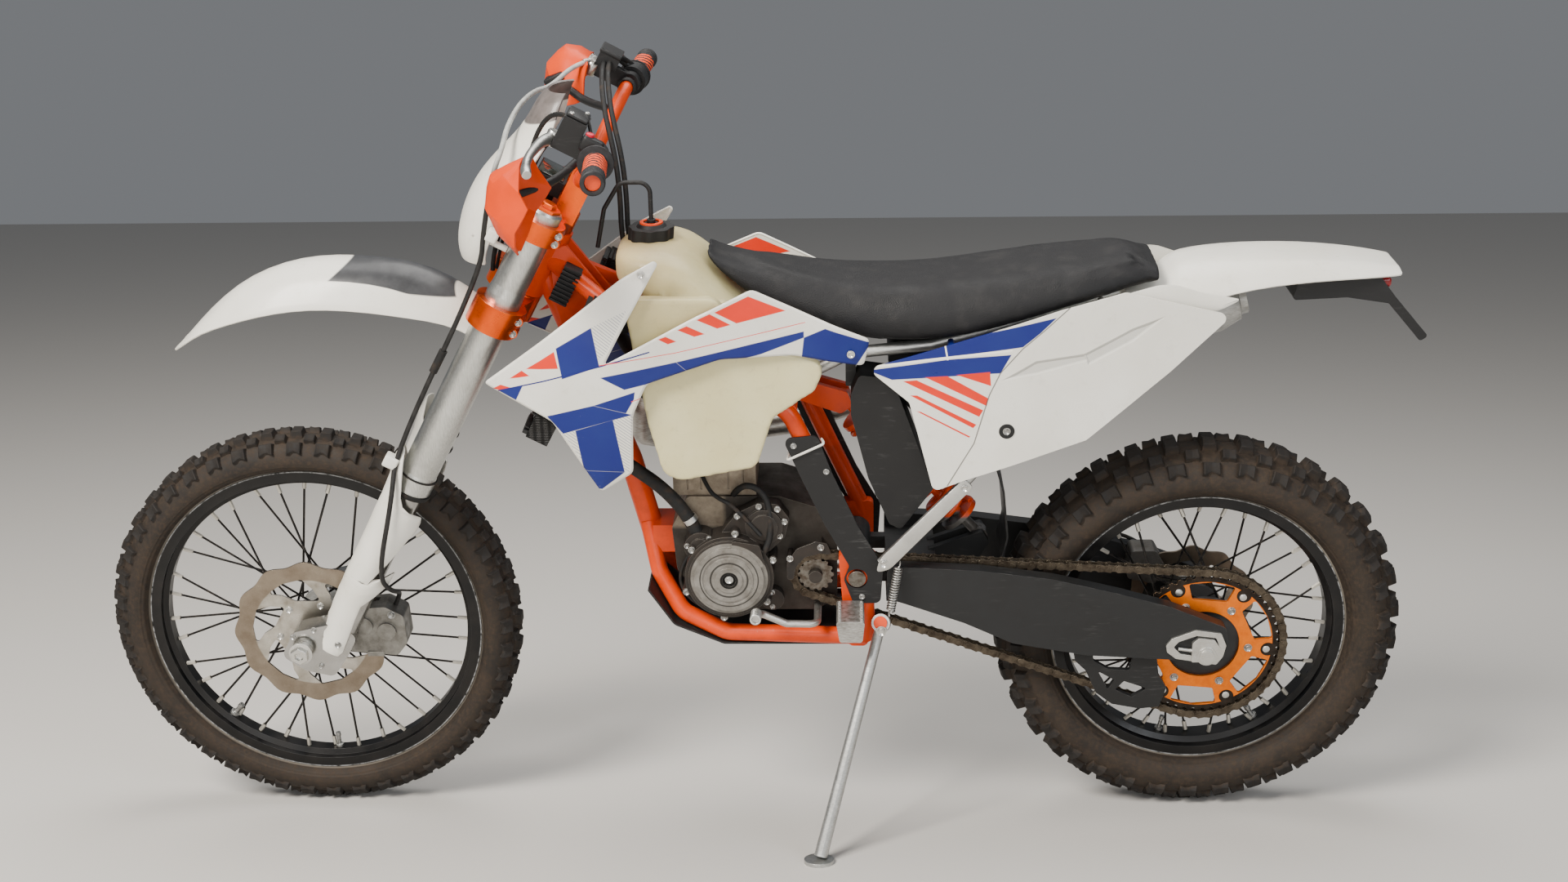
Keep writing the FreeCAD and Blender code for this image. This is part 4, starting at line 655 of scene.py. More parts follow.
def black_rim(wheel):
    paint = Paint(wheel["name"] + "_rim_black", 0.3)
    edge, cloud = paint.soft_edges(0.5), paint.noise(45, 5)
    lip = paint.from_axle(wheel).ramp(wheel["rim"] - 2.2, wheel["rim"] - 1.0)
    worn = lip * paint.noise(9, 4, 0.7).ramp(0.35, 0.6) * 0.8
    base = paint.mix(cloud.ramp(0.42, 0.75) * 0.32, "040405", "2a2521")
    paint.colour(base.toward(worn | edge * 0.15, "a9aaaa"))
    paint.rough(cloud, 0.25, 0.75, 0.24, 0.5)
    return paint.finish


def spoke_finish(wheel):
    """Black spokes with bright nipples."""
    paint = Paint(wheel["name"] + "_spokes_black", 0.35, metal=0.6)
    nipple = paint.from_axle(wheel).ramp(wheel["rim"] - 43.5, wheel["rim"] - 42.5)
    cloud = paint.noise(6, 4)
    paint.colour(cloud.tints(0.4, 0.75, "171718", "3a3530").toward(nipple, "b9b5ab"))
    paint.rough(cloud, 0.3, 0.7, 0.28, 0.5)
    return paint.finish


def clear_lens():
    paint = Paint("clear_lens", 0.08, coat=0.6)
    cloud = paint.noise(40, 4)
    paint.colour(cloud.tints(0.3, 0.7, "8e9396", "b4b8ba"))
    paint.bump((paint.y * 0.9).wave(), 0.6)
    paint.rough(cloud, 0.3, 0.7, 0.06, 0.2)
    return paint.finish


def radiator_core():
    paint = Paint("radiator_core", 0.45, metal=0.8)
    paint.colour(paint.noise(35, 5).tints(0.35, 0.7, "2a2a2a", "1c1b1a"))
    paint.bump((paint.z * 2.4).wave(), 0.5)
    paint.bump((paint.x * 0.55).wave(), 0.4)
    return paint.finish


def spring_finish():
    """An orange spring on a grey damper."""
    paint = Paint("orange_spring", 0.3, coat=0.3)
    cloud = paint.noise(25, 5)
    spring = cloud.tints(0.3, 0.75, ORANGE, "b53a06")
    paint.colour(paint.mix(paint.z.ramp(535, 540), "4a4744", spring))
    paint.rough(cloud, 0.3, 0.7, 0.25, 0.45)
    return paint.finish


def engine_case_finish():
    """Dark cases, paler round the foot of the cylinder."""
    paint = Paint("engine_case_cast", 0.55, metal=0.5)
    edge, cloud = paint.soft_edges(1.0), paint.noise(30, 6, 0.65)
    pale = cloud.tints(0.3, 0.75, "857b6c", "574c40")
    foot = paint.x.ramp(704, 696) * paint.z.ramp(542, 550)
    base = cloud.tints(0.32, 0.78, "3d3935", "2a2520").toward(foot, pale)
    paint.colour(base.toward(edge * 0.35, "a09a90"))
    paint.rough(cloud, 0.3, 0.7, 0.42, 0.66)
    paint.bump(paint.noise(1.2, 3, 0.6), 0.12)
    return paint.finish


IGNITION = (708, 477)


def engine_cover_finish():
    """Black covers; the ignition cover in front is bare grey with turned rings and a black hub."""
    paint = Paint("engine_cover_cast", 0.5, metal=0.5)
    edge, cloud = paint.soft_edges(1.0), paint.noise(24, 6, 0.65)
    reach = paint.square(*IGNITION).root()
    rings = abs(reach - 30).ramp(1.8, 1.2) | abs(reach - 47).ramp(1.3, 0.8)
    grey = cloud.tints(0.3, 0.75, "8f8c86", "5d5851").toward(rings * 0.85, "23211f")
    grey = grey.toward(reach.ramp(15, 14.4), "171615")
    cover = reach.ramp(63, 62) * paint.y.ramp(-107, -109)
    base = cloud.tints(0.32, 0.78, "2a2827", "3d3630").toward(cover, grey)
    paint.colour(base.toward(edge * 0.3, "a8a298"))
    paint.rough(cloud, 0.3, 0.7, 0.36, 0.6)
    paint.bump(paint.noise(1.2, 3, 0.6), 0.12)
    return paint.finish


# Bands and stripes of the body panels
SHROUD_BLUE = (
    [(459, 893), (514, 925), (524, 864), (466, 844)],
    [(365, 821), (404, 831), (392, 807)],
    [(439, 783), (511, 800), (570, 784), (462, 753)],
    [(511, 800), (582, 824), (574, 810), (570, 784)],
    [(481, 758), (540, 776), (553, 684), (490, 688)],
    [(490, 688), (553, 684), (516, 654), (510, 654)],
    [(769, 876), (834, 902), (837, 927), (936, 886), (912, 850)],
    [(524, 846), (640, 869), (660, 850), (560, 826)],
    [(640, 869), (834, 912), (834, 902), (769, 878), (660, 850)],
)
SHROUD_RED = (
    [(411, 859), (456, 888), (461, 861)],
    [(384, 842), (404, 856), (416, 848), (397, 844)],
    [(356, 824), (369, 831), (386, 827), (368, 822)],
    [(614, 906), (626, 910), (642, 902), (629, 898)],
    [(644, 920), (658, 926), (685, 913), (669, 909)],
    [(673, 935), (693, 944), (724, 926), (704, 921)],
    [(700, 946), (751, 969), (807, 945), (733, 928)],
)
SHROUD_HATCH = (
    [(515, 926), (568, 951), (535, 885), (521, 874)],
    [(462, 753), (480, 758), (489, 704)],
    [(540, 776), (571, 784), (560, 683), (553, 686)],
)
SHROUD_LINES = (
    (((365, 821), (524, 864), (600, 886)), 2.2, BLUE),
    (((837, 927), (780, 905), (700, 890)), 2.6, WHITE),
    (((524, 866), (640, 884), (836, 926)), 1.2, RED_ORANGE),
    (((570, 806), (700, 850), (816, 872)), 1.2, RED_ORANGE),
)
PANEL_BLUE = (
    [(941, 878), (999, 874), (1048, 884), (1020, 856), (923, 842)],
    [(999, 874), (1106, 898), (1228, 934), (1193, 899), (1167, 877), (1020, 856)],
    [(931, 838), (1053, 857), (1150, 865), (1134, 835), (968, 823)],
)
PANEL_STRIPES = (
    [(1067, 832), (1118, 837), (1120, 814)],
    [(1019, 828), (1053, 830), (1116, 794), (1114, 781)],
    [(985, 821), (1006, 823), (1109, 774), (1103, 763)],
    [(996, 798), (1007, 798), (1099, 750), (1094, 744)],
    [(1006, 772), (1013, 771), (1090, 730), (1088, 728)],
)
PANEL_LINES = (
    (((925, 842), (1020, 856), (1150, 872)), 3.4, LINE_WHITE),
    (((1048, 884), (1053, 857)), 2.4, LINE_WHITE),
)
# The panel's recess and the line of its crease, both coloured with painted shade: grey over the recess, dark along the
# crease
PANEL_SHADED_RECESS = (
    [(1135, 820), (1188, 852), (1262, 862), (1269, 848), (1189, 834)],
    [(1262, 862), (1334, 901), (1373, 915), (1335, 884), (1269, 848)],
)
PANEL_SHADED_SEAM = ((1245, 946), (1200, 903), (1167, 874), (1134, 835), (1118, 799), (1096, 718), (1056, 646))


def stroke(paint, points, width):
    """A line of a width through (x, z) points."""
    runs = []
    for a, b in zip(points, points[1:]):
        way = Vector((b[0] - a[0], b[1] - a[1])).normalized()
        side = Vector((-way.y, way.x)) * width / 2
        start, end = Vector(a) - way * width * 0.3, Vector(b) + way * width * 0.3
        runs.append([tuple(start + side), tuple(end + side), tuple(end - side), tuple(start - side)])
    return paint.any_of(runs, 0.35)


def film(name, blue, red, lines, hatch=()):
    """White plastic under a printed film of plain bands."""
    paint = white_plastic(name)
    cloud = paint.noise(70, 4)
    scratch = paint.noise(5, 4, 0.75, stretch=(0.35, 1.0, 1.8)).ramp(0.70, 0.74)
    base = paint.base.toward(paint.any_of(blue), cloud.tints(0.3, 0.7, BLUE, "11226a"))
    base = base.toward(paint.any_of(red), cloud.tints(0.3, 0.7, RED_ORANGE, "cc2406"))
    if hatch:
        rows = paint.math("FRACT", paint.dot(paint.place, (0.62, 0.0, 0.78)) * (1 / 4.2)).ramp(0.74, 0.78)
        base = base.toward(rows * paint.any_of(hatch) * 0.75, "5b6378")
    for points, width, tint in lines:
        base = base.toward(stroke(paint, points, width), tint)
    paint.base = base.toward(scratch * 0.35, "b9b4a8")
    paint.colour(paint.base)
    return paint


def shroud_finish():
    return film("shroud_white_with_bands", SHROUD_BLUE, SHROUD_RED, SHROUD_LINES, SHROUD_HATCH).finish


def side_panel_finish():
    paint = film("side_panel_white_with_bands", PANEL_BLUE, PANEL_STRIPES, PANEL_LINES)
    shaded_seam, shaded_recess = stroke(paint, PANEL_SHADED_SEAM, 1.6), paint.any_of(PANEL_SHADED_RECESS, 2.0)
    # Painted shade: grey over the recess and dark along the crease line, besides the dents the bumps press in
    paint.colour(paint.base.toward(shaded_recess * 0.35, "8f8e8a").toward(shaded_seam * 0.8, "55524c"))
    paint.bump(shaded_seam * -1.0, 1.2)
    paint.bump(shaded_recess * -1.0, 2.5)
    return paint.finish


def tank_finish():
    """Cream plastic that has browned towards the cap."""
    paint = Paint("cream_tank_plastic", 0.38, coat=0.1)
    cloud, fine = paint.noise(120, 5, 0.55), paint.noise(14, 5, 0.7)
    brown = paint.x.ramp(700, 560) * paint.z.ramp(900, 1000) * cloud.ramp(0.2, 0.7, 0.45, 1.0)
    base = cloud.tints(0.3, 0.7, CREAM, "c0b585").toward(brown * 0.75, TANK_BROWN)
    paint.colour(base.toward(fine.ramp(0.55, 0.8) * 0.3, "8d8266"))
    paint.rough(fine, 0.3, 0.7, 0.3, 0.5)
    paint.bump(paint.noise(1.4, 2), 0.05)
    paint.bump(paint.noise(55, 2), 0.8)
    paint.shader.inputs["Subsurface Weight"].default_value = 0.08
    paint.shader.inputs["Subsurface Radius"].default_value = (0.01, 0.008, 0.004)
    return paint.finish


def seat_finish():
    paint = Paint("seat_cover_grained", 0.62, specular=0.25)
    grain, cloud = paint.cells(1.7), paint.noise(60, 5, 0.6)
    base = cloud.tints(0.3, 0.7, "111112", "1a1a1c").toward(grain.ramp(0.3, 0.05) * 0.4, "0f0f10")
    paint.colour(base.toward(paint.noise(34, 5, 0.65).ramp(0.52, 0.78) * 0.18, "4a4744"))
    paint.rough(cloud, 0.3, 0.7, 0.5, 0.75)
    paint.bump(grain, 0.35)
    paint.bump(paint.noise(0.7, 2) * paint.z.ramp(880, 985), 0.1)
    return paint.finish


def carrier_finish():
    """Black ring with orange carrier, whose arms end in dark tabs round the rivets."""
    paint = Paint("rear_sprocket_finish", 0.34, metal=0.75)
    edge, cloud = paint.soft_edges(0.5), paint.noise(16, 5, 0.65)
    tab = None
    for k in range(6):
        angle = math.radians(-5 + 60 * k)
        near = paint.square(REAR["x"] + 108 * math.cos(angle), REAR["z"] + 108 * math.sin(angle)).ramp(150, 142)
        tab = tab | near if tab else near
    carrier = paint.from_axle(REAR).ramp(114.4, 113.8) * tab.ramp(0, 1, 1, 0)
    orange = cloud.tints(0.35, 0.7, "f07c10", "dd6808")
    base = cloud.tints(0.4, 0.65, "332c26", "1f1a16").toward(carrier, orange)
    paint.colour(base.toward(edge * 0.35, "f0c090"))
    paint.rough(cloud, 0.3, 0.7, 0.28, 0.5)
    return paint.finish


def tyre_finish(wheel):
    """Dusty rubber with black block tops and a pale line by the rim."""
    paint = Paint(wheel["name"] + "_tyre_rubber", 0.75)
    crown, rim = wheel["crown"], wheel["rim"]
    reach = paint.from_axle(wheel)
    past = reach - (wheel["radius"] - crown)
    out = (past * past + paint.y * paint.y).root()
    cloud, fine = paint.noise(55, 6, 0.65), paint.noise(7, 5, 0.7)
    dust = cloud.tints(0.3, 0.7, "2f261d", "1b1714").toward(fine.ramp(0.45, 0.75) * 0.6, "46382b")
    black = fine.tints(0.3, 0.75, "100f0f", "231e1a")
    tops = out.ramp(crown - 9.5, crown - 5) * past.ramp(4, 14) * cloud.ramp(0.25, 0.6, 0.65, 1.0)
    paint.colour(dust.toward(tops, black).toward(reach.ramp(rim + 3.2, rim + 2.2) * 0.5, "b9b0a2"))
    paint.rough(fine, 0.3, 0.7, 0.62, 0.9)
    paint.bump((reach * 1.05).wave() * reach.ramp(rim + 17, rim + 13), 0.25)
    paint.bump(fine, 0.5)
    return paint.finish


# Frame nodes that keep their shape, each with what makes its finish
NODE_FINISHES = {
    "fork_outer_tubes": (fork_silver,),
    "fork_inner_tubes": (chrome_tube,),
    "lower_triple_clamp": (anodised_orange,),
    "upper_triple_clamp": (anodised_orange,),
    "handlebar": (painted_orange,),
    "bar_controls": (scuffed_black, "bar_controls_black", "141415", 0.42),
    "headlight_mask": (mask_finish,),
    "headlight": (clear_lens,),
    "front_brake_caliper": (cast_metal, "caliper_grey", "8b8a85", "4f4a43", 0.42, 0.8),
    "front_axle": (bare_alloy, "axle_bright", "c6c3bb", 0.26, 0.2),
    "front_rim": (black_rim, FRONT),
    "rear_rim": (black_rim, REAR),
    "front_spokes": (spoke_finish, FRONT),
    "rear_spokes": (spoke_finish, REAR),
    "front_hub": (bare_alloy, "front_hub_alloy", "8d8d8b", 0.38, 0.55),
    "rear_hub": (scuffed_black, "rear_hub_black", "2a2a2b", 0.4),
    "front_brake_disc": (disc_steel, FRONT),
    "rear_brake_disc": (disc_steel, REAR),
    "rear_sprocket": (carrier_finish,),
    "side_stand": (bare_alloy, "stand_alloy", "a7a8a6", 0.36, 0.4, (0.3, 0.3, 1.6)),
    "main_frame": (painted_orange,),
    "subframe": (bare_alloy, "subframe_alloy", "a2a29e", 0.4, 0.4),
    "frame_guards": (scuffed_black, "frame_guard_grey", "171718", 0.5, 0.8),
    "engine_cases": (engine_case_finish,),
    "engine_covers": (engine_cover_finish,),
    "cylinder_head": (cast_metal, "cylinder_cast", "8d8272", "5c4f41", 0.6, 0.5),
    "radiators": (radiator_core,),
    "voltage_regulator": (scuffed_black, "regulator_black", "1a1a1b", 0.5),
    "fuel_cap": (scuffed_black, "cap_black", "161616", 0.5),
    "side_panels": (side_panel_finish,),
    "airbox": (scuffed_black, "airbox_black", "111112", 0.45, 0.7),
    "plate_holder": (scuffed_black, "plate_holder_black", "19191a", 0.45),
    "exhaust_header": (bare_alloy, "header_steel", "8f8274", 0.35, 0.6),
    "skid_plate": (scuffed_black, "skid_plate_black", "1d1c1b", 0.55, 0.9),
    "swingarm": (scuffed_black, "swingarm_black", "1c1d1e", 0.42, 0.35),
    "swingarm_pivot": (plain_steel,),
    "rear_axle": (bare_alloy, "axle_block_alloy", "bdbab2", 0.34, 0.3),
    "shock_absorber": (spring_finish,),
    "drive_chain": (chain_steel,),
    "front_sprocket": (plain_steel,),
    "chain_guide": (scuffed_black, "chain_guide_black", "171717", 0.5),
    "footpegs": (bare_alloy, "peg_steel", "8c8881", 0.42, 0.6),
    "shift_lever": (bare_alloy, "shift_lever_alloy", "a59e96", 0.35, 0.4),
    "brake_pedal": (bare_alloy, "brake_pedal_alloy", "a59e96", 0.35, 0.4),
    "rear_brake_caliper": (cast_metal, "rear_caliper_grey", "6d6b67", "45403a", 0.45, 0.8),
}

for node, (maker, *details) in NODE_FINISHES.items():
    dressed, finish = frame["nodes"][node], maker(*details)
    if not dressed.data.materials:
        dressed.data.materials.append(finish)
    for place in dressed.material_slots:
        place.material = finish


# Tyres
def tread_block(width, length, height, notch):
    """A tread block on the plane z = 0: narrower at its top, with a notch cut into the side at +x."""
    bpy.ops.mesh.primitive_cube_add(size=1)
    obj = bpy.context.object
    for vertex in obj.data.vertices:
        top = vertex.co.z > 0
        vertex.co.x *= width * (0.86 if top else 1.08)
        vertex.co.y *= length * (0.84 if top else 1.08)
        vertex.co.z = height if top else -3.0
    if notch:
        slice_at(obj, (0, 0, 0), (0, 1, 0))
        for vertex in obj.data.vertices:
            if abs(vertex.co.y) < 0.01 and vertex.co.z > 0:
                if vertex.co.x > 0:
                    vertex.co.x -= notch
                    vertex.co.z -= height * 0.35
                else:
                    vertex.co.z -= height * 0.12
    return bevel(obj, 1.1, 1, 30)


def on_crown(wheel, lean, turn):
    """Where a tread block stands: leaned out from the middle of the tread and turned about the axle."""
    foot = wheel["crown"] - wheel["tread"] - 1.0
    centre = wheel["radius"] - wheel["crown"]
    stand = Matrix.Translation((0, foot * math.sin(lean), centre + foot * math.cos(lean)))
    stand = stand @ Matrix.Rotation(-lean, 4, "X") @ Matrix.Rotation(math.radians(90), 4, "Z")
    if lean < 0:
        stand = stand @ Matrix.Rotation(math.pi, 4, "Z")
    return Matrix.Translation((wheel["x"], 0, wheel["z"])) @ Matrix.Rotation(turn, 4, "Y") @ stand


def tread_row(wheel, count, shift, lean, width, length, notch):
    places = []
    for k in range(count):
        turn = 2 * math.pi * (k + shift) / count
        for side in ((1, -1) if lean else (1,)):
            places.append(on_crown(wheel, side * math.radians(lean), turn))
    return repeated(tread_block(width, length, wheel["tread"] - 0.4, notch), places)


for wheel in (FRONT, REAR):
    x, z, half = wheel["x"], wheel["z"], wheel["half"]
    section = [(x, -y, z + radius) for y, radius in reversed(half)] + [(x, y, z + radius) for y, radius in half[1:]]
    carcass = turned(section, 120, (x, 0, z), (0, 1, 0))
    add_modifier(carcass, "SUBSURF", levels=1, render_levels=1)
    apply_modifiers(carcass)
    blocks = [tread_row(wheel, *row) for row in wheel["rows"]]
    settle(
        join([carcass] + blocks), wheel["name"] + "_knobby_tyre", wheel["name"] + "_wheel",
        tyre_finish(wheel), smooth=32, stands_for=(wheel["name"] + "_tyre",),
    )


# Tank and seat, from their frame solids and in the frame's metres
def copy_of_node(node, voxel, smoothing):
    """A copy of a frame solid as one even, smoothed skin, and where its points were before the smoothing."""
    obj = frame["nodes"][node].copy()
    obj.data = frame["nodes"][node].data.copy()
    bpy.context.scene.collection.objects.link(obj)
    edit(obj)
    bpy.ops.mesh.remove_doubles(threshold=0.00002)
    done()
    obj.data.remesh_voxel_size = voxel
    obj.data.remesh_voxel_adaptivity = 0
    only(obj)
    bpy.ops.object.voxel_remesh()
    start = [vertex.co.copy() for vertex in obj.data.vertices]
    add_modifier(obj, "SMOOTH", factor=0.5, iterations=smoothing)
    apply_modifiers(obj)
    return obj, start


def settle_copy(obj, name, finish, node):
    only(obj)
    bpy.ops.object.shade_smooth()
    return register(obj, name, "chassis", finish, (node,))


CLOTH_FRAMES = 20
SEAT_SWELL = 0.004

tank, _ = copy_of_node("fuel_tank", 0.005, 4)
settle_copy(tank, "moulded_tank", tank_finish(), "fuel_tank")

seat, seat_start = copy_of_node("seat", 0.006, 6)
cloth = seat.modifiers.new("cloth", "CLOTH")
cloth.settings.use_pressure = True
cloth.settings.uniform_pressure_force = 4.0
cloth.settings.effector_weights.gravity = 0
cloth.point_cache.frame_start = 1
cloth.point_cache.frame_end = CLOTH_FRAMES
for moment in range(1, CLOTH_FRAMES + 1):
    bpy.context.scene.frame_set(moment)
only(seat)
bpy.ops.object.modifier_apply(modifier="cloth")
bpy.context.scene.frame_set(1)
for vertex, was in zip(seat.data.vertices, seat_start):
    moved = vertex.co - was
    if moved.length > SEAT_SWELL:
        vertex.co = was + moved.normalized() * SEAT_SWELL
add_modifier(seat, "SUBSURF", levels=1, render_levels=1)
apply_modifiers(seat)
settle_copy(seat, "padded_seat", seat_finish(), "seat")

# Radiator shrouds
SHROUD = (
    (342, 832), (446, 774), (514, 648), (566, 682), (571, 783), (594, 834), (706, 871), (818, 874),
    (925, 850), (934, 892), (819, 949), (756, 979), (666, 937), (531, 866), (558, 917), (617, 1019),
    (611.5, 1024.5), (560, 997),
)
SHROUD_DEPTH = ((330, 150), (440, 170), (560, 170), (700, 162), (820, 152), (880, 147), (940, 130))
SHROUD_RIDGE = ((330, 832), (520, 856), (700, 900), (940, 872))
SHROUD_CREASES = (((342, 832), (520, 856)), ((531, 866), (700, 900)), ((531, 866), (540, 660)))


def shroud_depth(x, z):
    """The shroud stands out most along its ridge, and bends back above and below it."""
    off = z - between(SHROUD_RIDGE, x)
    fall = 0.00042 * off * off if off < 0 else 0.0009 * off * off
    return between(SHROUD_DEPTH, x) + 2.6 - min(fall, 17.0)


def make_shroud():
    return panel(rounded(SHROUD, 8), shroud_depth, 3.0, 3.2, 1.6, 22, SHROUD_CREASES)


settle(
    join([make_shroud(), mirror(make_shroud())]), "radiator_shroud_pair", "chassis", shroud_finish(),
    smooth=24, stands_for=("radiator_shrouds",),
)

# Fixings
LEFT = (0, -1, 0)
RIGHT = (0, 1, 0)
UP = (0, 0, 1)
BACK = (1, 0, 0)
SIDES = (-1, 1)
bolt_steel = bare_alloy("bolt_steel", "6f6a62", 0.36, 0.6)
dark_steel = bare_alloy("dark_bolt_steel", "4c4843", 0.42, 0.5)
black_plastic = scuffed_black("detail_black", "141415", 0.42, 0.3)
hose_rubber = rubber("hose_rubber", "151515", 0.15)
light_alloy = bare_alloy("light_alloy", "c4c2bb", 0.3, 0.25)


def bolt_head(radius, height):
    """A socket-head bolt on its washer."""
    plate = cylinder((0, 0, -1), (0, 0, 1.2), radius * 1.35, 14)
    head = cylinder((0, 0, 1.2), (0, 0, height), radius, 12)
    edit(head, "DESELECT")
    bpy.ops.mesh.select_mode(type="FACE")
    bpy.ops.mesh.select_all(action="DESELECT")
    done()
    for face in head.data.polygons:
        face.select = face.normal.z > 0.9
    bpy.ops.object.mode_set(mode="EDIT")
    bpy.ops.mesh.inset(thickness=radius * 0.42)
    bpy.ops.transform.translate(value=(0, 0, -height * 0.5))
    done()
    return join([plate, bevelled(head, radius * 0.12, 1, 50)])


def fixings(name, body, places, radius, height, finish=bolt_steel, matrix=None):
    made = repeated(bolt_head(radius, height), [facing(point, way) for point, way in places])
    return settle(made, name, body, finish, matrix, smooth=30)


def at(way, *points):
    """Places that look the same way."""
    return [(point, way) for point in points]


def around(centre, y, radius, count, start, way):
    """Places round a wheel's axle or a cover's middle."""
    turns = [math.radians(start + 360 / count * k) for k in range(count)]
    return at(way, *((centre[0] + radius * math.cos(t), y, centre[1] + radius * math.sin(t)) for t in turns))


FRONT_AXLE = (FRONT["x"], FRONT["z"])
REAR_AXLE = (REAR["x"], REAR["z"])
PUMP = (662, 524)
SMALL_COVER = ((697, 541), (722, 578), (757, 595), (787, 590), (798, 568), (790, 543))
ignition_ring = around(IGNITION, -106, 76, 6, 22, LEFT)
pump_ring = around(PUMP, -99.5, 22, 3, 50, LEFT)
lugs = [cylinder((x, -64, z), (x, y, z), 7.5, 16, 6.8) for (x, y, z), _ in ignition_ring]
lugs += [cylinder((x, -70, z), (x, -94, z), 6.5, 14, 6.0) for x, z in SMALL_COVER]
lugs += [cylinder((x, -70, z), (x, y, z), 5.5, 14) for (x, y, z), _ in pump_ring]
settle(join(lugs), "cover_lugs", "chassis", engine_cover_finish(), smooth=40)
fixings("ignition_cover_bolts", "chassis", ignition_ring, 4.2, 5.5)
fixings("small_cover_bolts", "chassis", at(LEFT, *((x, -94, z) for x, z in SMALL_COVER)), 3.8, 5)
fixings("pump_bolts", "chassis", pump_ring, 3.4, 4.5)
fixings("sprocket_guard_bolts", "chassis", at(LEFT, (806, -98, 504), (856, -98, 524)), 4.2, 5)
fixings("filter_cover_bolts", "chassis", at(LEFT, (776, -84, 436), (776, -84, 410)), 3.2, 4)
fixings("clutch_cover_bolts", "chassis", around((790, 480), 108, 74, 9, 10, RIGHT), 4.2, 5.5)
fixings("right_cover_bolts", "chassis", around((680, 470), 98, 52, 5, 100, RIGHT), 4.0, 5)
shroud_screws = [((x, side * y, z), (0, side, 0)) for x, y, z in ((592, 163, 1006), (905, 146, 872)) for side in SIDES]
fixings("shroud_screws", "chassis", shroud_screws, 4.6, 3.2, light_alloy)
guard_screws = [((x, side * 123, z), (0, side, 0)) for side in SIDES for x, z in ((815, 712), (866, 668), (922, 448))]
fixings("frame_guard_screws", "chassis", guard_screws, 3.6, 3.4, dark_steel)
fixings("sprocket_bolts", "rear_wheel", around(REAR_AXLE, -83, 75, 6, -5, LEFT), 5.2, 5.5)
rivets = lathe([(-0.5, 0), (-0.5, 6.2), (1.2, 6.0), (2.0, 4.6), (2.2, 0)], 16)
rivets = repeated(rivets, [facing(point, way) for point, way in around(REAR_AXLE, -83, 105, 6, -5, LEFT)])
settle(rivets, "sprocket_rivets", "rear_wheel", light_alloy, smooth=40)
fixings("front_disc_bolts", "front_wheel", around(FRONT_AXLE, -56, 54, 6, 8, LEFT), 4.6, 4.6, light_alloy)
fixings("rear_disc_bolts", "rear_wheel", around(REAR_AXLE, 64, 48, 6, 8, RIGHT), 4.4, 4.4)
clamp_bolts, bosses = [], []
for side in SIDES:
    for a, s in ((36, 667), (36, 688), (33, 827), (33, 841)):
        y = side * (LEG_Y + 14)
        bosses.append(cylinder((a, y - side * 22, s), (a, y + side * 6, s), 7.5, 20))
        clamp_bolts.append(((a, y + side * 6, s), (0, side, 0)))
settle(join(bosses), "clamp_bosses", "steering", anodised_orange(), FORK, smooth=40)
fixings("clamp_bolts", "steering", clamp_bolts, 4.4, 6, matrix=FORK)
riser_bolts = at(UP, *((28 + a, side * 44, 944) for side in SIDES for a in (-12, 12)))
fixings("bar_clamp_bolts", "steering", riser_bolts, 4.2, 6, matrix=FORK)
axle_pinch = at(LEFT, *((x, -115.5, z) for x, z in ((-14, 372), (22, 384), (40, 372), (28, 318))))
fixings("axle_lug_bolts", "steering", axle_pinch, 3.8, 5)
fixings("strut_bolts", "chassis", at(LEFT, (956, -141, 516), (1083, -124, 640)), 5.6, 6, light_alloy)
fixings("stand_bolt", "chassis", at(LEFT, (953, -147, 398)), 6.5, 6.5, light_alloy)

# Swingarm strut: a flat bar with rounded ends over the tube
strut = outline_face(rounded([(944, 500), (966, 504), (1098, 640), (1082, 656), (950, 524)], 8))
add_modifier(strut, "SOLIDIFY", thickness=4.5, offset=0)
bevelled(strut, 1.0, 2, 40)
for vertex in strut.data.vertices:
    vertex.co.y += -139.5 + 17.5 * (vertex.co.x - 950) / 140
settle(strut, "flat_strut", "chassis", light_alloy, smooth=30)

# Side stand spring: a coil between two hooks
SPRING_TOP = Vector((982, -133, 516))
SPRING_FOOT = Vector((966, -140, 420))
COIL_TURNS = 17
spring_way = SPRING_FOOT - SPRING_TOP
hook = spring_way.normalized()
bpy.ops.mesh.primitive_circle_add(vertices=8, radius=1.5, fill_type="NOTHING", rotation=(math.pi / 2, 0, 0))
coil = bpy.context.object
placed(coil, Matrix.Translation((6.4, 0, 0)) @ coil.matrix_world)
coil.matrix_world = Matrix.Identity(4)
add_modifier(
    coil, "SCREW", angle=2 * math.pi, screw_offset=(spring_way.length - 22) / COIL_TURNS, iterations=COIL_TURNS,
    steps=12, render_steps=12, axis="Z",
)
apply_modifiers(coil)
placed(face_out(coil), facing(SPRING_TOP + hook * 11, spring_way))
hooks = [
    cable([SPRING_TOP, SPRING_TOP + Vector((2, 4, -6)), SPRING_TOP + hook * 12], 1.5, 3),
    cable([SPRING_FOOT, SPRING_FOOT + Vector((-2, 4, 6)), SPRING_FOOT - hook * 12], 1.5, 3),
]
stand_spring = settle(join([coil] + hooks), "stand_spring", None, bolt_steel, smooth=60)
tuple(LEANED @ (SPRING_TOP + spring_way * 0.2))
tuple(LEANED @ (SPRING_FOOT - spring_way * 0.2))
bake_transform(stand_spring)

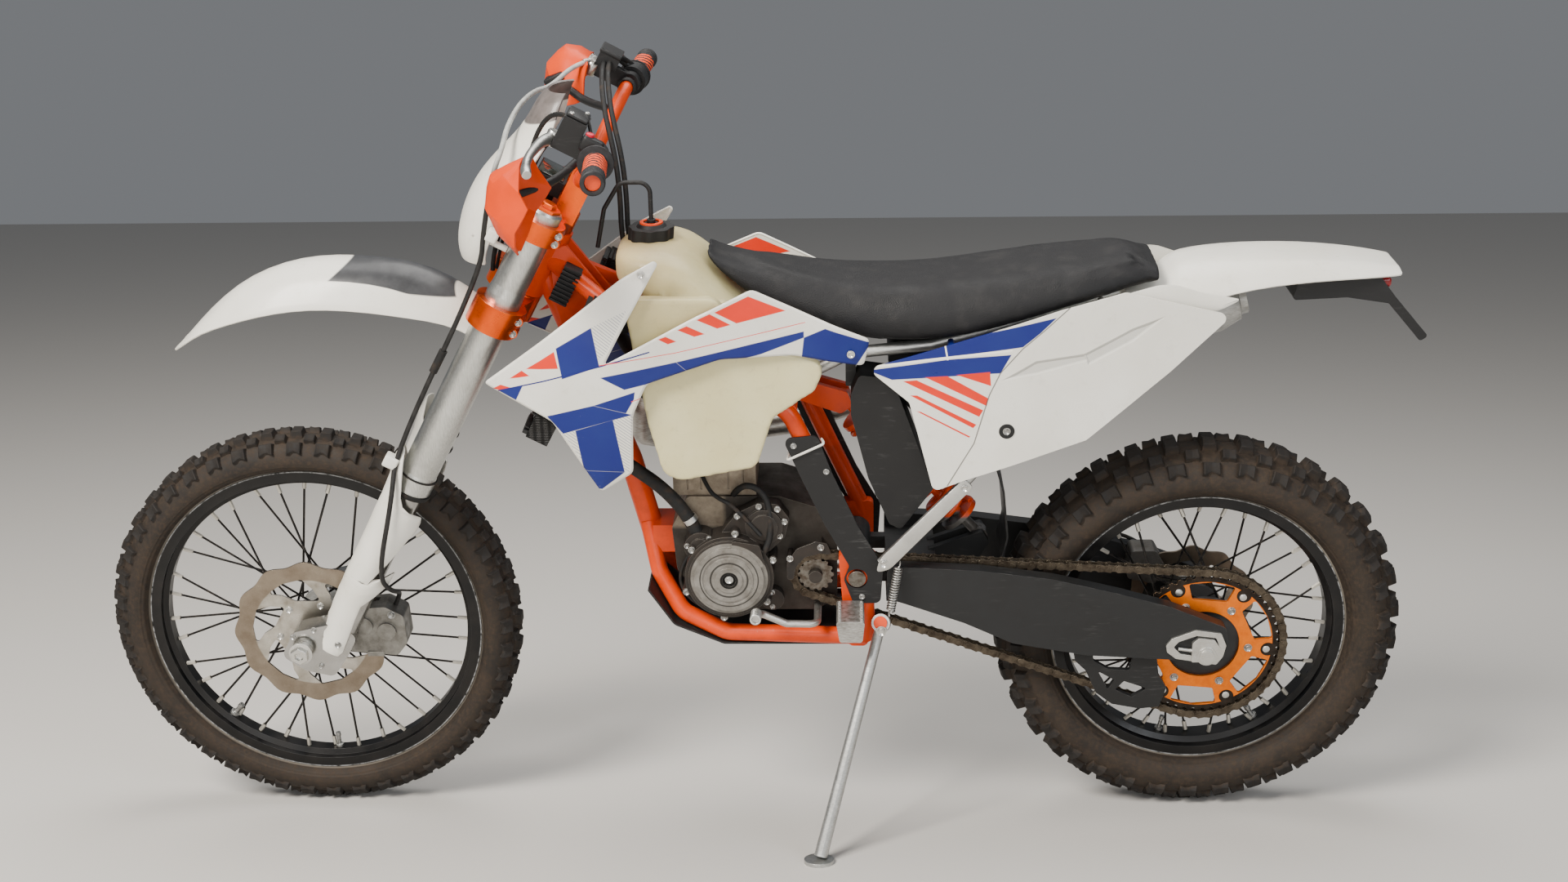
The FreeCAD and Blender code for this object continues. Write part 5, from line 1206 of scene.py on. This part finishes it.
# Valve and rim lock on each wheel
for name, wheel, turn, long, radius in (
    ("front_valve", FRONT, -88, 27, 3.6), ("front_rim_lock", FRONT, 228, 24, 4.4),
    ("rear_valve", REAR, 257, 27, 3.6), ("rear_rim_lock", REAR, -59, 24, 4.4),
):
    stem = lathe([
        (0, 0), (0, radius * 1.9), (4, radius * 1.9), (4.5, radius), (long - 7, radius * 0.9),
        (long - 6.5, radius * 1.25), (long, radius * 1.15), (long, 0),
    ], 12)
    out = Vector((math.cos(math.radians(turn)), 0, math.sin(math.radians(turn))))
    placed(stem, facing(Vector((wheel["x"], 0, wheel["z"])) + out * (wheel["rim"] - 26.6), -out))
    settle(stem, name, wheel["name"] + "_wheel", dark_steel, smooth=35)

# Hoses and cables
BRAKE_LINE = (
    (-37.3, 234, 1023), (-62, 213, 1008), (-80, 160, 968), (-98, 110, 966), (-108, 30, 956),
    (-107, -50, 938), (-98, -100, 920), (-94, -134, 890), (-70, -132, 800), (-48, -114, 735),
    (-47, -118, 400), (-20, -150, 340), (14, -146, 200), (44, -116, 168), (60, -66, 150),
    (60, -66, 121.6),
)
CLUTCH_LINE = (
    (-30, -210, 1040), (-50, -180, 1030), (-62, -130, 985), (-58, -70, 920), (-52, -52, 860), (-50, -48, 760),
    (-34, -44, 720),
)
SWITCH_WIRE = (
    (20, -262, 1030), (-2, -240, 1062), (-20, -190, 1046), (-34, -120, 985), (-46, -66, 930), (-44, -40, 880),
    (-46, -30, 780), (-30, -30, 720),
)
THROTTLE_CABLE = (
    (541, 264, 1228), (520, 252, 1252), (508, 200, 1252), (512, 130, 1232), (522, 72, 1196), (540, 36, 1132),
    (545, 30, 1069), (544, 28, 1010), (552, 24, 968),
)
# The second throttle cable runs beside the first, by so much in x and y at each point
SECOND_CABLE = [
    (x + 9, y + beside, z) for (x, y, z), beside in zip(THROTTLE_CABLE, (9, 0, 0, 9, 9, 9, 9, 9, 9))
]
COOLANT = [(655, -84, 546), (640, -84, 580), (602, -92, 630), (560, -104, 668), (512, -118, 712), (492, -126, 742)]
COOLANT_BRANCH = [(612, 20, 752), (576, 40, 772), (540, 80, 800), (512, 112, 842), (500, 122, 872)]
LOOM = (
    ([(716, -66, 604), (728, -86, 628), (752, -92, 630), (772, -90, 606), (777, -99, 560), (770, -106, 524),
      (752, -112, 504)], 5.2, 4),
    ([(664, -62, 640), (676, -80, 618), (694, -90, 606), (716, -98, 600), (760, -104, 548)], 3.4, 3),
    ([(640, -80, 500), (622, -78, 470), (632, -80, 430), (668, -84, 404), (700, -86, 398)], 3.0, 3),
)
REAR_LINE = (
    (1408, 92, 432), (1370, 114, 452), (1300, 122, 444), (1150, 122, 446), (1010, 122, 440), (950, 118, 430),
)


def brake_line_finish():
    """Grey sleeve over the mask, black rubber from there down."""
    paint = Paint("front_brake_line_rubber", 0.45)
    cloud = paint.noise(12, 4)
    grey = cloud.tints(0.3, 0.7, "8d8f8c", "a9aaa6")
    paint.colour(cloud.tints(0.3, 0.7, "131313", "262423").toward(paint.z.ramp(1150, 1170), grey))
    paint.rough(cloud, 0.3, 0.7, 0.35, 0.6)
    return paint.finish


def hoses(name, body, runs, matrix=None):
    """Hoses or wires, each from its points, radius and fineness."""
    made = [cable(*run) for run in runs]
    return settle(join(made), name, body, hose_rubber, matrix, smooth=60)


settle(
    cable(BRAKE_LINE, 4.0, 4), "front_brake_line", "steering", brake_line_finish(), FORK,
    smooth=60, stands_for=("front_brake_hose",),
)
banjo = [
    placed(lathe([(-4, 0), (-4, 8), (4, 8), (5, 6.4), (9, 6.4), (9, 0)], 14), facing((-37, 232, 1023), (-1, 0.2, 0.3))),
    placed(lathe([(0, 0), (0, 5.4), (16, 4.9), (16, 0)], 12), facing((-40, 231, 1021), (-25, -21, -15))),
]
settle(join(banjo), "brake_line_banjo", "steering", dark_steel, FORK, smooth=35)
hoses("clutch_line", "steering", [(CLUTCH_LINE, 3.6, 4)], FORK)
hoses("switch_wire", "steering", [(SWITCH_WIRE, 2.6, 3)], FORK)
throttle = hoses("throttle_cables", None, [(THROTTLE_CABLE, 4.2, 4), (SECOND_CABLE, 4.2, 4)])
tuple(LEANED @ Vector((535, 40, 1180)))
tuple(LEANED @ Vector((548, 30, 1000)))
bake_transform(throttle)
branches = [([(x, side * y, z) for x, y, z in COOLANT_BRANCH], 11, 5) for side in SIDES]
hoses("coolant_hoses", "chassis", [(COOLANT, 11, 5)] + branches)
hoses("engine_loom", "chassis", LOOM)
hoses("rear_brake_line", "chassis", [(REAR_LINE, 3.4, 4)])


# Hose clips and ties
def strap(point, way, radius, wide, thick):
    """A tie round a hose or tube."""
    half = wide / 2
    ring = lathe([(-half, radius), (-half, radius + thick), (half, radius + thick), (half, radius)], 18)
    return placed(ring, facing(point, way))


clips = [
    strap((508, -119, 716), (-48, -14, 44), 11.2, 9, 1.2), strap((646, -84, 568), (-25, 0, 40), 11.2, 9, 1.2),
]
settle(join(clips), "hose_clips", "chassis", light_alloy, smooth=35)
white_loop = cable([
    (808, -100, 692), (805, -116, 688), (806, -125, 689), (812, -125.6, 692), (856, -125.6, 713), (862, -125, 716),
    (862, -116, 716), (859, -100, 714),
], 2.0, 4)
settle(white_loop, "frame_guard_tie", "chassis", rubber("white_tie", "d8d5cc", 0.05), smooth=35)
hose_guide = join([block((-64, -142, 792), (-46, -122, 812)), block((-58, -134, 376), (-35, -112, 396))])
settle(bevel(hose_guide, 3, 3, 30), "hose_guides", "steering", plain_white(), FORK, smooth=35)
sleeve = strap((-47.6, -116, 572), (0.01, -0.02, 1), 4.3, 40, 2.2)
settle(sleeve, "brake_line_sleeve", "steering", hose_rubber, FORK, smooth=40)

# Bars
BAR_A = 28.0
BAR_AXIS = Matrix.Translation((BAR_A, 0, 972))
GUARD_TURNS = ((-1, 0), (1, 37))


def bar_point(y):
    """A point on the bar's outer run at this distance from the middle."""
    share = (abs(y) - 200) / 202.0
    return Vector((BAR_A + 12 * share, y, 1013 + 13 * share))


def on_bar(first, last, section, steps):
    """A piece turned about the bar between two distances from the middle; its section depends on its length."""
    start, end = bar_point(first), bar_point(last)
    return placed(lathe(section((end - start).length), steps), facing(start, end - start))


def round_bar(obj, turn):
    return placed(obj, BAR_AXIS @ Matrix.Rotation(math.radians(turn), 4, "Y") @ BAR_AXIS.inverted())


def grip_section(length):
    """A ribbed rubber grip with its inner flange and a thicker outer end."""
    section = [(0.3, 11.6), (0.3, 25.6), (2.2, 26.2), (4.2, 25.4), (5.4, 17.6)]
    rib = 9.0
    while rib < length - 14:
        section += [(rib, 15.4), (rib + 0.8, 16.9), (rib + 3.4, 16.9), (rib + 4.2, 15.4)]
        rib += 5.4
    return section + [
        (length - 9, 16.0), (length - 8, 17.6), (length - 1.5, 17.4), (length, 15.6), (length, 11.6),
    ]


def two_tone_grip():
    """Black rubber with orange panels between the ribs."""
    paint = Paint("grip_black_and_orange", 0.6)
    paint.soft_edges(0.5)
    along = abs(paint.y)
    weave = ((along + paint.z * 1.4) * 0.42).wave()
    orange = weave.ramp(-0.15, -0.05) * (along.ramp(294, 295) * along.ramp(372, 371))
    paint.colour(paint.noise(12).tints(0.3, 0.7, "141415", "262628").toward(orange, "e84a0a"))
    paint.bump(paint.noise(1.4, 3), 0.1)
    return paint.finish


grips = join([on_bar(side * 286, side * 408, grip_section, 28) for side in SIDES])
settle(
    grips, "ribbed_grips", "steering", two_tone_grip(), FORK, smooth=38, stands_for=("grips",),
)
FLANGE = [(0, 18), (0, 22.5), (1.2, 23.4), (2.9, 23.4), (2.9, 18)]
flanges = join([on_bar(side * 282.5, side * 285.6, lambda length: FLANGE, 30) for side in SIDES])
settle(flanges, "grip_flanges", "steering", moulded_orange(), FORK, smooth=38)

# A hand guard's rows: s, its front, its ends and how far it is drawn in at each end
GUARD_ROWS = (
    (856, -10, -6, 0.62, 0.22), (872, -46, -8, 0.30, 0.05), (893, -74, -12, 0.08, 0.0),
    (917, -83, -8, 0.0, 0.0), (933, -86, -7, 0.0, 0.0), (949, -74, -36, 0.0, 0.0), (965, -60, -56, 0.0, 0.30),
)


def guard_shell(side, turn):
    """A hand guard: a pointed scoop round the fingers, open at the back."""
    rows = []
    for s, front, end, narrow_in, narrow_out in GUARD_ROWS:
        row = []
        for share in (k / 12 for k in range(13)):
            across = narrow_in + share * (1 - narrow_in - narrow_out)
            a = front + (end - front) * (abs(share - 0.52) / 0.52) ** 2.6
            if 0.25 < share < 0.8 and 870 < s < 950:
                a -= 4.0
            row.append((a, side * (205 + 140 * across), s))
        rows.append(row)
    obj = sheet(rows)
    add_modifier(obj, "SOLIDIFY", thickness=3.0, offset=0)
    return round_bar(bevelled(obj, 0.9, 2, 45), turn)


settle(
    join([guard_shell(*guard) for guard in GUARD_TURNS]), "hand_guard_shells", "steering",
    moulded_orange(), FORK, smooth=28, stands_for=("hand_guards",),
)
guard_arms = []
for side, turn in GUARD_TURNS:
    arm = cable([(-52, side * 232, 902), (-34, side * 214, 918), (-6, side * 190, 938), (9, side * 152, 970)], 6.5, 5)
    pad = bevelled(block((-62, side * 236 - 16, 884), (-50, side * 236 + 16, 918)), 3, 2)
    guard_arms.append(round_bar(join([arm, pad]), turn))
settle(join(guard_arms), "hand_guard_arms", "steering", black_plastic, FORK, smooth=45)

levers = []
for side, inner, outer in ((-1, 240, 390), (1, 236, 386)):
    blade = (
        (-36, inner - 6, 1009), (-42, inner + 10, 1008), (-49, inner + 40, 1004), (-53, inner + 92, 997),
        (-50, outer - 26, 993), (-46, outer - 8, 991), (-43, outer, 990.5),
    )
    levers.append(forged([(a, side * y, s) for a, y, s in blade], [9.5, 9.0, 7.4, 6.4, 6.0, 8.2, 6.4]))
    pivot = lathe([(-11, 0), (-11, 9.5), (-9, 10.5), (9, 10.5), (11, 9.5), (11, 0)], 20)
    levers.append(placed(pivot, Matrix.Translation((-36, side * (inner - 4), 1009))))
settle(
    join(levers), "forged_levers", "steering",
    bare_alloy("lever_forged_alloy", "b7b5ae", 0.26, 0.35), FORK, smooth=50, stands_for=("control_levers",),
)

# Lids, buttons and fittings on the bar controls
lids = join([block((-32, -254, 1052), (-1, -208, 1057)), block((-35.5, 194.5, 1049), (1.5, 247.5, 1055.7))])
settle(bevel(lids, 2.0), "reservoir_lids", "steering", black_plastic, FORK)
fixings("lid_screws", "steering", at(UP, (-26, -249, 1057), (-7, -213, 1057)), 2.6, 2.6, light_alloy, FORK)
perch_bolts = at(BACK, *((20, y, s) for s in (1004, 1026) for y in (-250, -234, 230, 242)))
fixings("perch_bolts", "steering", perch_bolts, 3.0, 4.0, matrix=FORK)


def housing_section(radius):
    """A ring round the bar with broken edges, for a given length."""
    return lambda length: [
        (0, 11.6), (0, radius - 1.5), (1.5, radius), (length - 1.5, radius), (length, radius - 1.5), (length, 11.6),
    ]


housings = [
    on_bar(first, last, housing_section(radius), 26)
    for first, last, radius in ((-262, -280, 19), (-206, -216, 15), (206, 216, 15))
]
housings.append(bevelled(block((2, -281, 1022), (34, -262, 1046)), 5, 3))
housings.append(forged([(26, 266, 1028), (8, 266, 1038), (-12, 262, 1043), (-28, 257, 1045)], [7, 6.5, 5.5, 5]))
settle(join(housings), "switch_housings", "steering", black_plastic, FORK, smooth=38)
button = lathe([(0, 0), (0, 6.2), (3.2, 6.2), (4.4, 4.6), (4.6, 0)], 18)
placed(button, facing((10, -271, 1045.5), (-0.2, 0, 1)))


def two_shades(name, rough, size, first, second, coat=0.0):
    paint = Paint(name, rough, coat=coat)
    paint.colour(paint.noise(size).tints(0.3, 0.7, first, second))
    return paint


red = two_shades("red_button", 0.35, 9, "c01030", "9a0c26")
settle(button, "stop_button", "steering", red.finish, FORK, smooth=40)
screen = bevel(block((-38, -36, 895), (4, 36, 897.5)), 1.0)
glass = two_shades("display_glass", 0.12, 30, "3d443c", "20241f", 0.5)
settle(screen, "display_screen", "steering", glass.finish, FORK)

# Fork seals and caps
seals, caps = [], []
for side in SIDES:
    at_leg = Matrix.Translation((0, side * LEG_Y, 0))
    seals.append(placed(lathe([(338, 24.3), (338, 32), (341, 33.4), (345.6, 33.4), (345.6, 24.3)], 40), at_leg))
    seals.append(placed(lathe([(372, 31.2), (372, 32.4), (375, 32.4), (375, 31.2)], 40), at_leg))
    caps.append(placed(lathe([(866, 0), (866, 22), (870, 22), (871, 13), (876, 13), (877, 11), (877, 0)], 6), at_leg))
settle(join(seals), "fork_seals", "steering", hose_rubber, FORK, smooth=40)
settle(join(caps), "fork_caps", "steering", anodised_orange(), FORK, smooth=30)
caliper_bolts = at(LEFT, (88, -88, 397), (146, -88, 398), (72, -88, 345))
fixings("caliper_bolts", "steering", caliper_bolts, 5.0, 6, dark_steel)

# Rear fender with the shoulders beside the seat's tail; a fender's rows are x, crown, edge and half width
REAR_FENDER = (
    (1330, 941, 888, 97), (1364, 948, 892, 99), (1388, 955, 900, 100), (1400, 966, 906, 100), (1412, 978, 914, 100),
    (1440, 984, 934, 99), (1490, 989, 950, 97), (1550, 990.5, 960, 93), (1614, 989.5, 965, 88), (1670, 985, 966, 80),
    (1716, 978.5, 966, 71), (1744, 972.5, 966, 62), (1750, 971, 966, 58),
)
FRONT_FENDER = (
    (-172, 846, 846, 38), (-150, 868, 862, 56), (-118, 902, 884, 66), (-70, 942, 900, 72), (-20, 968, 914, 76),
    (35, 984, 924, 78), (90, 989, 926, 78), (155, 986, 920, 76), (215, 978, 908, 70), (272, 955, 896, 62),
    (315, 918, 872, 60), (345, 890, 852, 58),
)
SHOULDER = (
    (1226, 926), (1322, 953), (1372, 966), (1398, 966), (1440, 952), (1500, 940), (1470, 924), (1404, 908), (1330, 888),
    (1262, 882),
)
SHOULDER_DEPTH = ((1220, 119), (1300, 112), (1380, 105.5), (1440, 101.5), (1500, 98.5))


def fender_sheet(table, cells, power, lip):
    """A crowned shell with a ridge along each side."""
    rows = []
    for x, crown, edge, half in table:
        row = []
        for share in (2 * k / cells for k in range(-cells // 2, cells // 2 + 1)):
            ridge = lip * max(0.0, 1 - abs(abs(share) - 0.62) / 0.14)
            row.append((x, half * share, crown - (crown - edge) * abs(share) ** power + ridge))
        rows.append(row)
    obj = sheet(rows)
    if sum(face.normal.z for face in obj.data.polygons) < 0:
        obj.data.flip_normals()
    add_modifier(obj, "SUBSURF", levels=1, render_levels=1)
    add_modifier(obj, "SOLIDIFY", thickness=3.0, offset=-1)
    return bevelled(obj, 0.8, 2, 50)


def shoulder_depth(x, z):
    return between(SHOULDER_DEPTH, x) - 0.0022 * max(z - 950, 0) ** 2


def make_shoulder():
    return panel(rounded(SHOULDER, 10), shoulder_depth, 2.6, 2.5, 1.0, 24)


def front_fender_finish():
    """White with a grey top at its rear."""
    paint = white_plastic("front_fender_white")
    dark = paint.inside([(88, 962), (152, 1012), (262, 1002), (286, 930)], 1.2) * abs(paint.y).ramp(52.5, 51.5)
    paint.colour(paint.base.toward(dark, paint.noise(26, 5, 0.65).tints(0.3, 0.7, "424345", "2f3032")))
    return paint.finish


settle(
    join([fender_sheet(REAR_FENDER, 14, 3.4, 1.6), make_shoulder(), mirror(make_shoulder())]), "rear_fender_shell",
    "chassis", plain_white(), smooth=35, stands_for=("rear_fender",),
)
tail_lamp = bevel(block((1712, -34, 936), (1742, 34, 952)), 5, 3)
lens = two_shades("red_lens", 0.15, 12, "a01018", "6d0a10", 0.5)
lens.bump((lens.y * 1.6).wave(), 0.3)
settle(tail_lamp, "tail_lamp", "chassis", lens.finish)
front_sheet = fender_sheet(FRONT_FENDER, 12, 2.4, 2.0)
post = placed(bevelled(block((-8, -34, 618), (34, 34, 654.5)), 2), FORK)
settle(
    join([front_sheet, post]), "front_fender_shell", "steering", front_fender_finish(),
    stands_for=("front_fender",),
)

# Silencer with its bands, rivets and end cap
PIPE_START = Vector((1100.8, 151, 742.9))
PIPE_END = Vector((1556, 147, 862))
LONG = (PIPE_END - PIPE_START).length
pipe_way = (PIPE_END - PIPE_START).normalized()
silencer = lathe([
    (0, 20), (0, 22), (8, 22.4), (10, 24), (50, 44.2), (52, 45.6), (74, 45.6), (75, 44.4), (LONG - 76, 44.4),
    (LONG - 75, 45.8), (LONG - 50, 45.8), (LONG - 46, 44.8), (LONG - 14, 34), (LONG - 12, 27), (LONG, 26), (LONG, 22),
    (LONG - 40, 20), (LONG - 40, 0),
], 40)
placed(silencer, facing(PIPE_START, pipe_way))
hanger = cylinder((1222, 91.5, 815), (1222, 112, 811), 6, 16)
settle(
    join([silencer, hanger]), "silencer_can", "chassis",
    bare_alloy("silencer_alloy", "9d9c98", 0.38, 0.5), smooth=32, stands_for=("silencer",),
)
side_way = pipe_way.cross(Vector(UP)).normalized()
up_way = side_way.cross(pipe_way)
rivet_places = []
for along in (63, LONG - 63):
    for turn in (2 * math.pi * k / 14 for k in range(14)):
        out = side_way * math.cos(turn) + up_way * math.sin(turn)
        rivet_places.append(facing(PIPE_START + pipe_way * along + out * 45.2, out))
rivet = lathe([(0, 0), (0, 3.0), (0.9, 2.6), (1.5, 1.4), (1.6, 0)], 10)
settle(repeated(rivet, rivet_places), "silencer_rivets", "chassis", light_alloy, smooth=40)

# Regulator fins, louvres, pegs and lever tips
at_regulator = Matrix.Translation((436, 0, 930)) @ Matrix.Rotation(RAKE, 4, "Y")
before_core = Matrix.Translation((402, 0, 745)) @ Matrix.Rotation(RAKE, 4, "Y")
across = Matrix.Rotation(math.radians(90), 4, "X")
fins = [block((-3, -53, 2 + 7.2 * k), (27, -46, 4.6 + 7.2 * k)) for k in range(9)]
settle(placed(join(fins), at_regulator), "regulator_fins", "chassis", black_plastic, smooth=30)
louvres = []
for side in SIDES:
    for k in range(9):
        slat = block((-7.5, -1.2, 0), (-0.8, 1.2, 56))
        louvres.append(placed(slat, Matrix.Translation((0, side * 129 + 28, 14 + 25 * k)) @ across))
    for z in (4, 226):
        louvres.append(block((-8, side * 129 - 31, z), (-0.6, side * 129 + 31, z + 6)))
settle(placed(join(louvres), before_core), "radiator_louvres", "chassis", black_plastic, smooth=30)
teeth = [
    Matrix.Translation((x, side * (134 + 10 * k), 441)) for side in SIDES for k in range(7) for x in (886, 921)
]
tooth = cylinder((0, 0, -1), (0, 0, 4.5), 3.4, 6, 1.8)
tooth_steel = bare_alloy("peg_teeth_steel", "9a958c", 0.4)
settle(repeated(tooth, teeth), "peg_teeth", "chassis", tooth_steel, smooth=25)
tips = []
for start, end in (((752.5, -150, 432.5), (752, -186, 439)), ((748.8, 146, 446), (747.8, 180, 451))):
    start, way = Vector(start), Vector(end) - Vector(start)
    section = [(0, 6.2), (0, 8.4)]
    for k in range(4):
        section += [(3 + 7 * k, 9.2), (7 + 7 * k, 9.2), (8.2 + 7 * k, 8.0)]
    section += [(way.length - 1, 9.2), (way.length, 8.2), (way.length, 6.2)]
    tips.append(placed(lathe(section, 20), facing(start, way)))
settle(join(tips), "lever_tips", "chassis", light_alloy)
cap_ring = lathe([(-1, 12.5), (-1, 18.5), (2.0, 18.0), (2.6, 15.5), (2.0, 12.5)], 32)
placed(cap_ring, Matrix.Translation((595, 0, 1039.2)))
settle(cap_ring, "cap_ring", "chassis", moulded_orange(), smooth=40)

# Fork guards: a strip down the front of each leg, wrapped round it in the middle and again below the open window;
# each row is s, its radius about the leg, the angle it starts at, how far back it reaches and its slant
FORK_GUARD = (
    (414, 43, -6, -36, 0), (391, 45, -40, -27, 0), (372, 43, -55, -20, 0), (355, 40, -60, -14, 0),
    (339, 39, -60, -8, 0), (326, 38.5, -60, 1, 0), (319, 38, -60, 14, 0), (312, 38, -60, 34, 0), (300, 38, -60, 38, 0),
    (284, 38, -60, 38, 0), (261, 37, -60, 29, 0), (220, 36.5, -60, 19, 0), (169, 36, -60, 4.5, 0),
    (168, 36, -60, 36, 1), (160, 36, -60, 36, 0.9), (150, 35.5, -60, 35, 0.7), (140, 35, -60, 22, 0.5),
    (127, 35, -55, 10, 0), (100, 33.5, -40, 11, 0), (76, 32, -10, 13, 0), (50, 31, 35, 15, 0),
    (32, 31, 50, 16, 0), (22, 31, 62, 12, 0),
)
fork_guards = []
for side in SIDES:
    rows = []
    for s, radius, first, rear, slant in FORK_GUARD:
        first = math.radians(first)
        last = math.acos(max(-0.96, min(0.96, -rear / radius)))
        row = []
        for turn in (first + (last - first) * k / 20 for k in range(21)):
            a = -radius * math.cos(turn)
            row.append((a, side * (LEG_Y + radius * math.sin(turn)), s + slant * max(0.0, a - 4)))
        rows.append(row)
    guard = sheet(rows)
    add_modifier(guard, "SOLIDIFY", thickness=2.6, offset=0)
    fork_guards.append(bevelled(guard, 0.7, 2, 50))
settle(
    join(fork_guards), "fork_guard_sleeves", "steering", plain_white(), FORK, smooth=30,
    stands_for=("fork_guards",),
)
foot_bolts = [((4, side * 128, 44), (0, side, 0)) for side in SIDES]
fixings("fork_guard_bolts", "steering", foot_bolts, 4.2, 5.5, dark_steel, FORK)

# Axle ends, the panel's bolt and the cover's middle
axle_end = facing((-FORK_OFFSET, -128.5, 0), LEFT)
axle_parts = [
    placed(lathe([(0, 10), (0, 19), (3, 19.4), (4, 16), (4, 10)], 32), axle_end),
    placed(lathe([(4, 0), (4, 15.4), (12.5, 15.4), (13.5, 14), (13.5, 8), (8, 7), (8, 0)], 6), axle_end),
]
nut_alloy = bare_alloy("axle_nut_alloy", "c9c6be", 0.24, 0.2)
settle(join(axle_parts), "front_axle_nut", "steering", nut_alloy, FORK, smooth=28)
# A dark ring round the panel's bolt: painted shade standing for the recess the bolt sits in
cup = lathe([(-1, 6.2), (1.2, 6.2), (2.2, 9), (1.4, 12), (-1, 12.6)], 28)
placed(cup, facing((1146, -132.2, 739), LEFT))
settle(cup, "panel_bolt_shade_cup", "chassis", black_plastic, smooth=38)
fixings("panel_bolt", "chassis", at(LEFT, (1146, -132.0, 739)), 4.6, 5.4)
fixings("ignition_cover_bolt", "chassis", at(LEFT, (708, -120, 477)), 5.0, 4.5, light_alloy)


# Floor, light and camera
def studio():
    bpy.ops.mesh.primitive_plane_add(size=30)
    floor = bpy.context.object
    floor.name = "studio_floor"
    paint = bpy.data.materials.new("pale_floor")
    paint.use_nodes = True
    shader = paint.node_tree.nodes["Principled BSDF"]
    shader.inputs["Roughness"].default_value = 0.75
    shader.inputs["Base Color"].default_value = (0.52, 0.50, 0.47, 1)
    floor.data.materials.append(paint)

    world = bpy.data.worlds.new("studio")
    bpy.context.scene.world = world
    world.use_nodes = True
    background = world.node_tree.nodes["Background"]
    background.inputs["Color"].default_value = (0.50, 0.52, 0.55, 1)
    background.inputs["Strength"].default_value = 0.36

    lights = (
        ("key", (-2.6, -3.4, 4.2), 2.0, 640, (1.0, 0.95, 0.88)),
        ("fill", (3.2, -3.6, 2.4), 2.6, 120, (0.93, 0.96, 1.0)),
        ("top", (0.2, 0.6, 3.6), 2.6, 110, (1.0, 0.98, 0.95)),
        ("low", (0.0, -4.2, 0.9), 2.2, 55, (1.0, 0.98, 0.95)),
    )
    for name, place, size, power, tint in lights:
        lamp = bpy.data.lights.new(name, "AREA")
        lamp.size = size
        lamp.energy = power
        lamp.color = tint
        obj = bpy.data.objects.new(name, lamp)
        bpy.context.scene.collection.objects.link(obj)
        obj.location = place
        aim = Vector((0, 0, 0.5)) - Vector(place)
        obj.rotation_euler = aim.to_track_quat("-Z", "Y").to_euler()


def photograph_camera():
    forward = Vector((
        math.sin(YAW) * math.cos(PITCH), math.cos(YAW) * math.cos(PITCH), -math.sin(PITCH),
    ))
    right = Vector((math.cos(YAW), -math.sin(YAW), 0))
    up = right.cross(forward)
    level_right = right * math.cos(ROLL) + up * math.sin(ROLL)
    level_up = up * math.cos(ROLL) - right * math.sin(ROLL)
    eye = bpy.data.cameras.new("photograph_camera")
    eye.sensor_width = SENSOR_MM
    eye.lens = FOCAL_PX / PHOTO_WIDTH_PX * SENSOR_MM
    camera = bpy.data.objects.new("photograph_camera", eye)
    bpy.context.scene.collection.objects.link(camera)
    turn = Matrix((level_right, level_up, -forward)).transposed().to_4x4()
    camera.matrix_world = Matrix.Translation(CAMERA_AT) @ turn
    bpy.context.scene.camera = camera


studio()
photograph_camera()
